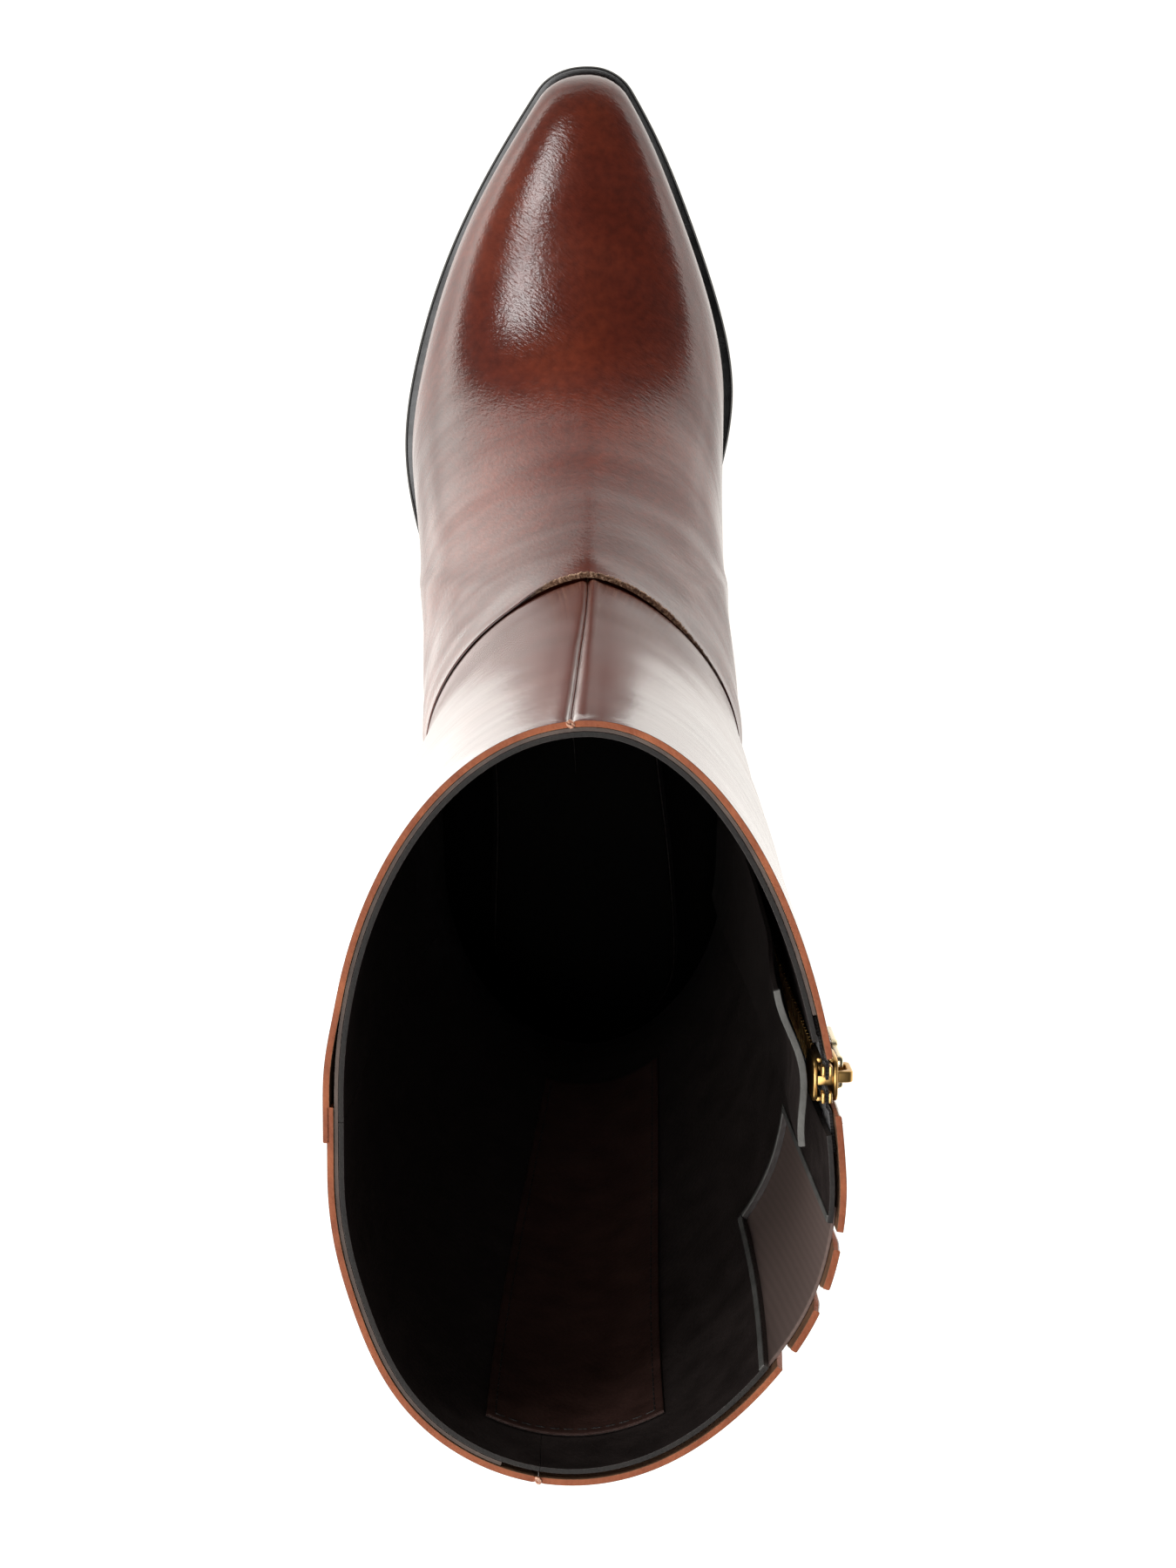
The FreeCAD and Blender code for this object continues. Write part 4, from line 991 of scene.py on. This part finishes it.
def make_gore():
    """Two leather strips over the elastic, with slits beside and between them."""
    slit = GORE_SLIT / (GORE[1] - GORE[0])
    width = (1.0 - (GORE_STRIPS + 1) * slit) / GORE_STRIPS
    for i in range(GORE_STRIPS):
        start = slit + i * (width + slit)
        panel(f"gore_strap_{i + 1}", "leather_outer", f"gore_strip_{i + 1}",
              eased(gore_line(start + width), 0.9), eased(gore_line(start), -0.9),
              (TOP_LEVEL - GORE_DEPTH + 0.4, TOP_LEVEL), LEATHER, (BROWN, FLESH, CUT_EDGE),
              (0.4, 0.4, 0.3, 0.08), 1.2)
    panel("gore_elastic_web", "elastic", "gore_elastic", moved(gore_line(1.0), -GORE_LAP),
          moved(gore_line(0.0), GORE_LAP), (TOP_LEVEL - GORE_DEPTH - 5, TOP_LEVEL - 3.2), WEB,
          (ELASTIC,) * 3, step=1.2)


# ---- the bottom -----------------------------------------------------------------------------
def outline():
    """The sole's edge seen from above: x, along and the unit normal pointing out."""
    alongs = SOLE_LENGTH * (1 - np.cos(np.linspace(0, math.pi, 151))) / 2
    halves = []
    for side in (LATERAL, MEDIAL):
        back = quarter((SOLE_LENGTH - alongs) / SOLE_EDGE[side](SOLE_LENGTH))
        halves.append(side * SOLE_EDGE[side](alongs) * toe_corner(alongs) * back)
    x = np.concatenate([halves[0], halves[1][-2:0:-1]])
    along = np.concatenate([alongs, alongs[-2:0:-1]])
    return even_loop(x, along)


def even_loop(x, along, count=520):
    """A closed loop re-spaced evenly, with its outward normals."""
    x, along = np.append(x, x[0]), np.append(along, along[0])
    walked = np.concatenate([[0], np.cumsum(np.hypot(np.diff(x), np.diff(along)))])
    at = np.linspace(0, walked[-1], count, endpoint=False)
    x, along = np.interp(at, walked, x), np.interp(at, walked, along)
    for _ in range(2):
        x = (np.roll(x, 1) + 2 * x + np.roll(x, -1)) / 4
        along = (np.roll(along, 1) + 2 * along + np.roll(along, -1)) / 4
    dx = np.roll(x, -1) - np.roll(x, 1)
    da = np.roll(along, -1) - np.roll(along, 1)
    size = np.hypot(dx, da)
    return x, along, da / size, -dx / size


def rounded_side(low, high, radius):
    """(inset, height) up a side whose two edges are rounded."""
    arc = np.linspace(0, math.pi / 2, 5)
    return ([(radius * (1 - math.sin(a)), low + radius * (1 - math.cos(a))) for a in arc]
            + [(radius * (1 - math.cos(a)), high - radius * (1 - math.sin(a))) for a in arc])


def shrunk(x, along, share, spine=(16.0, 262.0)):
    """A loop drawn in towards the sole's middle line."""
    middle = np.clip(along, *spine)
    centre = (SOLE_EDGE[LATERAL](middle) - SOLE_EDGE[MEDIAL](middle)) / 2
    return mix(x, centre, share), mix(along, middle, share)


def block(name, loop_at, side, inwards, materials):
    """A solid whose side is swept round loop_at(inset, height, share drawn inwards).

    materials are for the top and sides, and for the underside.
    """
    loops = [loop_at(*side[0], share) for share in inwards[::-1]]
    loops += [loop_at(*step) for step in side]
    loops += [loop_at(*side[-1], share) for share in inwards]
    points, faces = loop_mesh(loops)
    under = len(inwards) * len(loops[0])
    slots = [1] * under + [0] * (len(faces) - 2 - under) + [1, 0]
    return new_object(name, points, faces, materials, slots)


def sole_layer(name, inset, low, high, radius, materials):
    """A solid sole layer with rounded edges, between two heights above ground(along)."""
    x, along, nx, na = outline()

    def level_loop(extra, height, share=0.0):
        px, pa = x - nx * (inset + extra), along - na * (inset + extra)
        px, pa = shrunk(px, pa, share)
        return np.stack([px, pa + TOE_Y, ground(np.clip(pa, 0, SOLE_LENGTH)) + height], -1)

    return block(name, level_loop, rounded_side(low, high, radius),
                 (0.04, 0.12, 0.25, 0.4, 0.6, 0.8, 0.97), materials)


def edge_strip(name, keep, section, materials):
    """A strip of the sole's edge: its closed section (inset, height) swept where keep is true.

    Its last two sides, which lie under the upper, take the second material.
    """
    x, along, nx, na = outline()
    wanted = np.flatnonzero(keep(along))
    gaps = np.flatnonzero(np.diff(wanted) > 1)
    if len(gaps):
        wanted = np.concatenate([wanted[gaps[0] + 1:], wanted[:gaps[0] + 1]])
    x, along, nx, na = (v[wanted] for v in (x, along, nx, na))
    lines = []
    for inset, height in section:
        px, pa = x - nx * inset, along - na * inset
        floor = ground(np.clip(pa, 0, SOLE_LENGTH))
        lines.append(np.stack([px, pa + TOE_Y, floor + height], -1))
    points, faces = loop_mesh(np.stack(lines, 1))
    faces = [face[::-1] for face in faces]
    slots = ([0] * (len(section) - 2) + [1, 1]) * (len(wanted) - 1) + [0, 0]
    return new_object(name, points, faces, materials, slots)


def rounded_section(inset, width, low, high, radius):
    """A strip's section: a rounded outer edge, and a square inner one."""
    side = [(inset + deep, z) for deep, z in rounded_side(low, high, radius)]
    return [(inset + width, low), *side, (inset + FEATHER_INSET + 1.2, high),
            (inset + width, high)]


def heel_loop(extra, z, share=0.0):
    """The heel's outline at a height, set in by extra and drawn inwards by a share."""
    inset = 0.4 + 2.4 * (1 - z / HEEL_PITCH) ** 1.3 + extra
    breast = HEEL_BREAST + inset
    full = {s: float(SOLE_EDGE[s](SOLE_LENGTH)) for s in (LATERAL, MEDIAL)}
    angle = np.linspace(0, math.pi / 2, 60)
    alongs = mix(breast, SOLE_LENGTH - inset, np.sin(angle))
    halves = {}
    for side in (LATERAL, MEDIAL):
        reach = quarter((SOLE_LENGTH - inset - alongs) / (full[side] - inset))
        halves[side] = side * (SOLE_EDGE[side](alongs) - inset) * reach
    front = np.linspace(0, 1, 22)[1:-1]
    front_x = mix(halves[MEDIAL][0], halves[LATERAL][0], front)
    front_along = breast + 4.0 * (1 - (2 * front - 1) ** 2)
    x = np.concatenate([halves[LATERAL], halves[MEDIAL][-2::-1], front_x])
    along = np.concatenate([alongs, alongs[-2::-1], front_along])
    x, along = mix(x, 0.6, share), mix(along, 252.0, share)
    return np.stack([x, along + TOE_Y, np.full(len(x), z)], -1)


def heel_block(name, low, high, groove_depth, material, bottom_material):
    """One layer of the heel, its edges eased so that the stack shows its lines."""
    ease = min(0.35, (high - low) / 4)
    side = [(groove_depth, low), (groove_depth * 0.3, low + ease * 0.4), (0.0, low + ease),
            (0.0, mix(low, high, 0.5)), (0.0, high - ease),
            (groove_depth * 0.3, high - ease * 0.4), (groove_depth, high)]
    return block(name, heel_loop, side, (0.15, 0.4, 0.7, 0.96), [material, bottom_material])


def make_bottom():
    """Outsole, welt and rand, sock lining and heel, and finishes for what lies inside."""
    sole = (SOLE_EDGE_BLACK, SOLE_BLACK)
    finish_piece(sole_layer("outsole_sheet", 0.0, 0.0, OUTSOLE, 0.7, sole), "sole_rubber",
                 "outsole")
    low = OUTSOLE + LAYER_GAP
    section = rounded_section(0.35, 8.6, low, low + WELT, 0.6)
    for name, node, keep in (("welt_strip", "welt", lambda a: a < HEEL_BREAST),
                             ("heel_rand_strip", "heel_rand", lambda a: a > HEEL_BREAST - 1.0)):
        # The welt's sides under the upper take the near-black leather whose colour is painted
        # shade.
        piece = edge_strip(name, keep, section, [SOLE_EDGE_BLACK, PAINTED_SHADE_LEATHER])
        finish_piece(piece, "heel_stack", node)
    board = SEAT_RISE + LAYER_GAP + INSOLE_BOARD + LAYER_GAP
    # The sock's top takes the near-black leather whose colour is painted shade.
    piece = sole_layer("sock_leather_painted_shade", 7.6, board, board + SOCK, 0.5, (PAINTED_SHADE_LEATHER, FLESH))
    finish_piece(piece, "leather_lining", "sock_lining")
    piece = heel_block("heel_rubber_tip", 0.0, TOP_PIECE, 0.15, *sole)
    finish_piece(piece, "sole_rubber", "heel_top_piece")
    step = (HEEL_PITCH - LAYER_GAP - TOP_PIECE) / LIFTS
    for i in range(LIFTS):
        base = TOP_PIECE + step * i
        piece = heel_block(f"heel_layer_{i + 1}", base + LAYER_GAP / 2,
                           base + step - LAYER_GAP / 2, 0.22, HEEL_BLACK, HEEL_BLACK)
        finish_piece(piece, "heel_stack", f"heel_lift_{i + 1}")
    inside = {INSOLE: ["insole_board"], BOARD: ["shank_board"], CORK: ["cork_filler"],
              STIFF: ["toe_puff", "heel_counter"], FOLD_EDGE: ["topline_tape"],
              STEEL: ["steel_shank", "heel_nails", "heel_screw", "top_piece_pins"]}
    for material, nodes in inside.items():
        for node in nodes:
            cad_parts[node].data.materials.clear()
            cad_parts[node].data.materials.append(material)


# ---- the zip --------------------------------------------------------------------------------
def level_at(line, z):
    """Where a line of the upper passes a height above the floor."""
    level = np.atleast_1d(np.asarray(z, float)) - HEEL_PITCH - SEAT_RISE
    for _ in range(5):
        level = level + z - place(line(level), level)[..., 2]
    return level


def zip_axes():
    """Origin, directions down the zip, forwards across it and out of the boot, and length."""
    centre = beside_zip(0.0)
    levels = [level_at(centre, z) for z in ZIP_Z[::-1]]
    top, foot = (skin(centre(level), level, CHAIN_DEPTH)[0] for level in levels)
    length = np.linalg.norm(foot - top)
    down = (foot - top) / length
    out = np.cross(down, (0, -1, 0))
    out /= np.linalg.norm(out)
    return top, np.stack([down, np.cross(out, down), out]), length


ZIP_ORIGIN, ZIP_AXES, ZIP_LENGTH = zip_axes()


def zip_piece(name, parts, material, slot, node, body="boot"):
    """A piece from (points, faces) parts in the zip's own frame: down, forwards and out."""
    points, faces = merged(parts)
    piece = new_object(name, ZIP_ORIGIN + points @ ZIP_AXES, faces, [material])
    finish_piece(piece, slot, node, body=body)


def soft_box(x, y, z, radius):
    """A box with rounded edges, as points and faces; x, y and z are each a pair of sides."""
    shape = bmesh.new()
    bmesh.ops.create_cube(shape, size=1.0)
    for vertex in shape.verts:
        vertex.co = [mix(*sorted(pair), c + 0.5) for pair, c in zip((x, y, z), vertex.co)]
    bmesh.ops.bevel(shape, geom=shape.edges[:], offset=radius, segments=2, profile=0.6,
                    affect="EDGES")
    shape.verts.index_update()
    points = np.array([v.co for v in shape.verts])
    faces = [[v.index for v in f.verts] for f in shape.faces]
    shape.free()
    return points, faces


def rounded_outline(x, y, radius, steps=6):
    """A rectangle's outline with round corners, anticlockwise."""
    points = []
    for cx, cy, turn in ((x[1], y[1], 0), (x[0], y[1], 1), (x[0], y[0], 2), (x[1], y[0], 3)):
        middle = (cx - math.copysign(radius, cx - sum(x) / 2),
                  cy - math.copysign(radius, cy - sum(y) / 2))
        for k in range(steps + 1):
            angle = math.pi / 2 * (turn + k / steps)
            points.append((middle[0] + radius * math.cos(angle),
                           middle[1] + radius * math.sin(angle)))
    return points


def cut_sheet(outlines, thick, radius, height=0.0):
    """Sheet metal cut to outlines, holes among them, with rounded edges, about a height."""
    curve = bpy.data.curves.new("sheet", "CURVE")
    curve.dimensions = "2D"
    curve.fill_mode = "BOTH"
    curve.extrude = thick / 2 - radius
    curve.bevel_depth = radius
    curve.bevel_resolution = 2
    curve.offset = -radius
    for points in outlines:
        line = curve.splines.new("POLY")
        line.points.add(len(points) - 1)
        for target, point in zip(line.points, points):
            target.co = (*point, 0, 1)
        line.use_cyclic_u = True
    thing = bpy.data.objects.new("sheet", curve)
    bpy.context.scene.collection.objects.link(thing)
    mesh = bpy.data.meshes.new_from_object(
        thing.evaluated_get(bpy.context.evaluated_depsgraph_get()))
    points = np.array([v.co for v in mesh.vertices]) + (0, 0, height)
    faces = [list(p.vertices) for p in mesh.polygons]
    bpy.data.objects.remove(thing)
    bpy.data.meshes.remove(mesh)
    return points, faces


def tooth(side, x):
    """One zip tooth: two jaws over the tape and a rounded head."""
    jaw, head = (-0.1 * side, 2.7 * side), (-0.75 * side, 0.7 * side)
    return [soft_box((x, x + 1.15), jaw, (0.32, 1.1), 0.16),
            soft_box((x, x + 1.15), jaw, (-1.1, -0.32), 0.16),
            soft_box((x + 0.12, x + 1.03), head, (-0.85, 0.85), 0.2)]


def make_zip():
    """Two toothed rows on their tapes, their stops, and the slider with its pull."""
    first = SLIDER_LENGTH - 4.0
    count = int((ZIP_LENGTH - first - 4.0) / TOOTH_PITCH)
    for side, name in ((1, "front"), (-1, "rear")):
        shift = first + (TOOTH_PITCH / 2 if side > 0 else 0.0)
        row = [part for i in range(count) for part in tooth(side, shift + TOOTH_PITCH * i)]
        zip_piece(f"zip_chain_{name}", row, GOLD, "zip_metal", f"zip_teeth_{name}")
        make_tape(side, name)
    stops = [soft_box((-3.4, -0.4), (side * 1.5, side * 3.6), z, 0.25)
             for side in (-1, 1) for z in ((-1.0, -0.34), (0.34, 1.0))]
    zip_piece("zip_upper_stops", stops, GOLD, "zip_metal", "zip_top_stops")
    end = first + TOOTH_PITCH * count + 1.2
    foot = [soft_box((end, end + 4.5), (-wide, wide), z, radius) for wide, z, radius in
            ((3.6, (0.34, 1.3), 0.35), (3.6, (-1.3, -0.34), 0.35), (0.28, (-0.9, 0.9), 0.05))]
    zip_piece("zip_lower_stop", foot, GOLD, "zip_metal", "zip_bottom_stop")
    make_slider()
    make_pull()


def make_tape(side, name):
    """A woven tape: flat under the slider, then following the leather it is sewn under."""
    acrosses = np.array([TAPE_SLIT, 1.5, 2.6, 3.5, 4.3, 4.7, 5.2, 6.4, 7.8, 9.4, 11.2,
                         TAPE_HALF])
    shares = np.linspace(-0.012, 1.03, 90)
    layers = []
    for offset in TAPE:
        grid = []
        for across in acrosses:
            line = beside_zip(-side * across)
            level = level_at(line, mix(ZIP_Z[1], ZIP_Z[0], shares))
            local = (skin(line(level), level, offset) - ZIP_ORIGIN) @ ZIP_AXES.T
            follow = float(smooth((across - 4.25) / 0.9))
            height = mix(offset - CHAIN_DEPTH, local[:, 2], follow)
            grid.append(np.stack([shares * ZIP_LENGTH, np.full(90, side * across), height], -1))
        layers.append(np.array(grid))
    zip_piece(f"zip_cloth_{name}", [thin_solid(*layers, flip=side > 0)], TAPE_BLACK, "tape",
              f"zip_tape_{name}")


def make_slider():
    """The slider's two plates, its sides and middle post, and the bridge for the pull."""
    half = [(0.0, 2.6), (0.7, 3.7), (2.0, 4.2), (9.0, 4.1), (12.6, 3.6), (14.4, 2.9),
            (15.0, 2.0)]
    plan = half + [(x, -y) for x, y in reversed(half)]
    body = []
    for sign in (1, -1):
        body.append(cut_sheet([plan], 0.9, 0.28, sign * 1.9))
        body += [soft_box((1.2, 13.2), (s * 3.3, s * 4.15), (sign * 0.6, sign * 1.6), 0.22)
                 for s in (-1, 1)]
    body.append(soft_box((0.6, 4.6), (-0.9, 0.9), (-1.5, 1.5), 0.2))
    arch = [(3.2, 2.3), (3.2, 4.6), (3.6, 5.3), (4.4, 5.6), (10.8, 5.6), (11.6, 5.3),
            (12.0, 4.6), (12.0, 2.3), (10.4, 2.3), (10.4, 3.7), (10.0, 4.3), (9.4, 4.5),
            (5.8, 4.5), (5.2, 4.3), (4.8, 3.7), (4.8, 2.3)]
    points, faces = cut_sheet([arch], 2.2, 0.3)
    body.append((points[:, [0, 2, 1]], [f[::-1] for f in faces]))
    body += [soft_box((x - 0.45, x + 0.45), (-1.6, 1.6), (2.2, 2.6), 0.15) for x in (1.4, 13.3)]
    zip_piece("zip_slider_body", body, GOLD, "zip_metal", "zip_slider", "slider")


def make_pull():
    """The pull: a ring round the bridge, and a blade with an eyelet and a raised panel."""
    ring_outline = rounded_outline((-0.75, 11.4), (-3.2, 3.2), 1.0)
    ring_hole = rounded_outline((0.75, 7.2), (-1.9, 1.9), 0.6)[::-1]
    blade = rounded_outline((9.6, PULL_LENGTH), (-4.0, 4.0), 2.2)
    eyelet = [(PULL_LENGTH - 4.2 + 1.1 * math.cos(a), 1.1 * math.sin(a))
              for a in np.linspace(0, 2 * math.pi, 20, endpoint=False)][::-1]
    rim = rounded_outline((11.6, PULL_LENGTH - 7.0), (-2.6, 2.6), 1.4)
    parts = [cut_sheet([ring_outline, ring_hole], 1.5, 0.5), cut_sheet([blade, eyelet], 1.5, 0.4),
             cut_sheet([rim], 0.5, 0.15, 0.62)]
    parts = [(points + PULL_EYE, faces) for points, faces in parts]
    zip_piece("zip_pull_tab", parts, PALE_METAL, "zip_metal", "zip_pull", "pull")


# ---- thread and small trim ------------------------------------------------------------------
def make_stitching():
    """Rows of stitches in the leather's own brown, and black ones on the lining's patch."""
    foot, high = TOP_LEVEL - GORE_DEPTH, PATCH_LEVELS[1] - 2
    brown = [line_down(beside_zip(side * (ZIP_HALF_GAP + 2.4)), SEAM_FRONT + 3, TOP_LEVEL - 3)
             for side in (-1, 1)]
    brown.append(line_down(side_seam, SEAM_FRONT + 1, TOP_LEVEL - 2, SIDE_RISE - 0.14, 1.6))
    brown += [line_down(vamp_edge(side), 3, SEAM_FRONT - 3, 0.0, 1.8 * side, ankle_lift)
              for side in (LATERAL, MEDIAL)]
    brown += [line_down(gore_line(share), foot - 1, TOP_LEVEL - 2, 0.0, away)
              for share, away in ((0.0, 2.0), (1.0, -2.0))]
    ends = [float(gore_line(share)(foot)[0]) for share in (1.0, 0.0)]
    brown.append(line_round(foot - 2.2, ends[0] - 0.004, ends[1] + 0.004))
    sides = [side + inwards for side, inwards in zip(PATCH_SIDES, (2, -2))]
    black = [line_down(back_seam, PATCH_LEVELS[0] + 2, high, PATCH[1], side) for side in sides]
    back = float(back_seam(np.array([high]))[0])
    black.append(line_round(high, *(back + side / ROUND for side in sides), PATCH[1]))
    for lines, name, material, slot in ((brown, "brown_stitching", BROWN_THREAD, "leather_outer"),
                                        (black, "black_stitching", BLACK_THREAD, "tape")):
        rows = [stitch_row(*line, length=1.9, pitch=2.7, radius=0.2, proud=0.35)
                for line in lines]
        finish_piece(new_object(name, *merged(rows), [material]), slot)


def knot(centre, out, size, seed):
    """A trimmed thread end: a small lump of a few loops."""
    chance = np.random.default_rng(seed)
    axes = np.linalg.qr(np.column_stack([out, chance.normal(size=(3, 2))]))[0]
    parts = []
    for _ in range(4):
        angle = np.linspace(0, 2 * math.pi, 14)
        wide, tall = size * chance.uniform(0.6, 1.0), size * chance.uniform(0.35, 0.7)
        spin = chance.uniform(0, math.pi)
        a = wide * np.cos(angle) * math.cos(spin) - tall * np.sin(angle) * math.sin(spin)
        b = wide * np.cos(angle) * math.sin(spin) + tall * np.sin(angle) * math.cos(spin)
        lift = 0.35 * np.sin(angle + spin)
        loop = centre + np.outer(a, axes[:, 1]) + np.outer(b, axes[:, 2]) + np.outer(lift, out)
        parts.append(stitch_row(loop, np.tile(out, (len(loop), 1)), 0.8, 0.5, 0.19, 0.5))
    return merged(parts)


def make_trim():
    """Thread ends at the topline's seams, and the pale edges of the lining's window and flap."""
    knots = []
    for n, line in enumerate((front_seam, back_seam)):
        level = np.array([TOP_LEVEL])
        points, _ = on_upper(line(level), level, -0.7)
        knots.append(knot(points[0] + (0, 0, 0.15), np.array((0.0, 0.0, 1.0)), 0.75, 5 + n))
    finish_piece(new_object("thread_ends", *merged(knots), [TAN_THREAD]), "leather_outer")
    front, rear = gore_line(0.0), gore_line(1.0)
    foot = TOP_LEVEL - GORE_DEPTH - 3.0
    sides = (foot, TOP_LEVEL - 0.4)
    rim = (LINING[1] + 0.02, LINING[1] - 0.3)
    guard_top = (TOP_LEVEL - 6.6, TOP_LEVEL - 5.5)
    for name, start, end, levels, layer, lift in (
            ("window_edge_front", moved(front, 1.6), moved(front, 3.1), sides, rim, None),
            ("window_edge_rear", moved(rear, -3.1), moved(rear, -1.6), sides, rim, None),
            ("window_edge_foot", moved(rear, -WINDOW_STEP), moved(front, WINDOW_STEP),
             (foot, foot + 1.4), rim, None),
            ("guard_edge", beside_zip(GUARD_SIDES[0] + 0.1), beside_zip(GUARD_SIDES[1] - 0.1),
             guard_top, (GUARD[0] + 0.2, GUARD[1] - 0.2), guard_wave)):
        panel(name, "leather_lining", None, start, end, levels, layer, (GREY_EDGE,) * 3,
              (0.15,) * 4, 1.0, lift)


make_foot()
make_shaft()
make_gore()
make_bottom()
make_zip()
make_stitching()
make_trim()


# ---- floor, light and camera ----------------------------------------------------------------
def make_floor():
    """A white floor, glowing more on either side of the toe than straight in front of it.

    Its ramps run over metres from the boot's middle, sideways or towards the toe, and middle's
    over the one divided by the other.
    """
    mesh = bpy.data.meshes.new("floor")
    half = 4.0
    mesh.from_pydata([(-half, -half, 0), (half, -half, 0), (half, half, 0), (-half, half, 0)],
                     [], [(0, 1, 2, 3)])
    floor = bpy.data.objects.new("floor", mesh)
    bpy.context.scene.collection.objects.link(floor)
    material, tree, shader = tree_of("pale_floor")
    vector = coordinates(tree)
    pale = ramp(tree, noise(tree, vector, 3.0, 2), [(0.3, (0.27, 0.27, 0.268)),
                                                    (0.7, (0.30, 0.30, 0.298))])
    x, y = (part_of(tree, vector, axis) for axis in (0, 1))
    inwards = times(tree, x, -1.0)
    ahead = maths(tree, "MAXIMUM", times(tree, y, -1.0), 0.02)
    outer, inner = (ramp(tree, side, [(0.06, 0.0), (0.20, 1.0)]) for side in (x, inwards))
    pools = plus(tree, times(tree, outer, 3.3), times(tree, inner, 0.95))
    in_front = ramp(tree, ahead, [(0.03, 0.0), (0.13, 1.0), (0.22, 0.85), (0.45, 0.28)])
    glow = plus(tree, times(tree, outer, 0.45), 1.1)
    glow = plus(tree, glow, times(tree, pools, in_front))
    for side, low, strength, full, none in ((x, 0.085, 1.8, 0.045, 0.085),
                                            (inwards, 0.095, 0.8, 0.09, 0.125)):
        beside_ankle = times(tree, ramp(tree, side, [(low, 0.0), (0.12, strength)]),
                             ramp(tree, ahead, [(full, 1.0), (none, 0.0)]))
        glow = plus(tree, glow, beside_ankle)
    slope = maths(tree, "DIVIDE", maths(tree, "ABSOLUTE", x, 0.0), ahead)
    middle = ramp(tree, slope, [(0.10, 0.45), (0.55, 0.0)])
    beyond = ramp(tree, ahead, [(0.18, 0.0), (0.26, 1.0)])
    glow = times(tree, glow, maths(tree, "SUBTRACT", 1.0, times(tree, middle, beyond)))
    feed(tree, shader, Base_Color=pale, Emission_Strength=glow, Roughness=0.9,
         Emission_Color=(1.0, 0.975, 0.925, 1.0))
    mesh.materials.append(material)


def area_light(name, place_at, look_at, size, power):
    """A rectangular softbox at one point, facing another; metres and watts."""
    light = bpy.data.lights.new(name, "AREA")
    light.shape = "RECTANGLE"
    light.size, light.size_y = size
    light.energy = power
    lamp = bpy.data.objects.new(name, light)
    bpy.context.scene.collection.objects.link(lamp)
    lamp.location = place_at
    aim = Vector(look_at) - Vector(place_at)
    lamp.rotation_euler = aim.to_track_quat("-Z", "Y").to_euler()


def make_world():
    """A dim, even studio: the light comes from the softboxes and the white floor."""
    world = bpy.data.worlds.new("studio")
    bpy.context.scene.world = world
    world.use_nodes = True
    tree = world.node_tree
    tree.nodes.clear()
    out = tree.nodes.new("ShaderNodeOutputWorld")
    height = part_of(tree, add(tree, "TexCoord").outputs["Generated"], 2)
    colour = ramp(tree, height, [(0.0, 0.30), (0.12, 0.16), (0.5, 0.08)])
    background = add(tree, "Background", Color=colour, Strength=1.0)
    tree.links.new(background.outputs[0], out.inputs[0])


def make_camera():
    """Over the instep, looking down and a little towards the heel, with the toe at the top."""
    camera = bpy.data.cameras.new("camera")
    camera.sensor_width = 36.0
    camera.lens = LENS
    camera.clip_start, camera.clip_end = 0.05, 20.0
    thing = bpy.data.objects.new("camera", camera)
    bpy.context.scene.collection.objects.link(thing)
    right = Vector((-1, 0, 0))
    up = Vector((0, -math.cos(CAMERA_TILT), -math.sin(CAMERA_TILT)))
    back = right.cross(up)
    matrix = Matrix((right, up, back)).transposed().to_4x4()
    matrix.translation = CAMERA_AT
    thing.matrix_world = matrix
    bpy.context.scene.camera = thing


make_floor()
make_world()
area_light("key", (0.76, -0.94, 0.94), (0.012, -0.10, 0.04), (0.25, 0.36), 3.3)
area_light("overhead", (0.35, 0.30, 1.95), (0.0, 0.0, 0.1), (1.0, 1.0), 20.0)
area_light("behind", (1.1, 1.3, 1.1), (0.0, 0.0, 0.1), (1.2, 0.8), 14.0)
make_camera()
bpy.context.scene.view_settings.view_transform = "Standard"
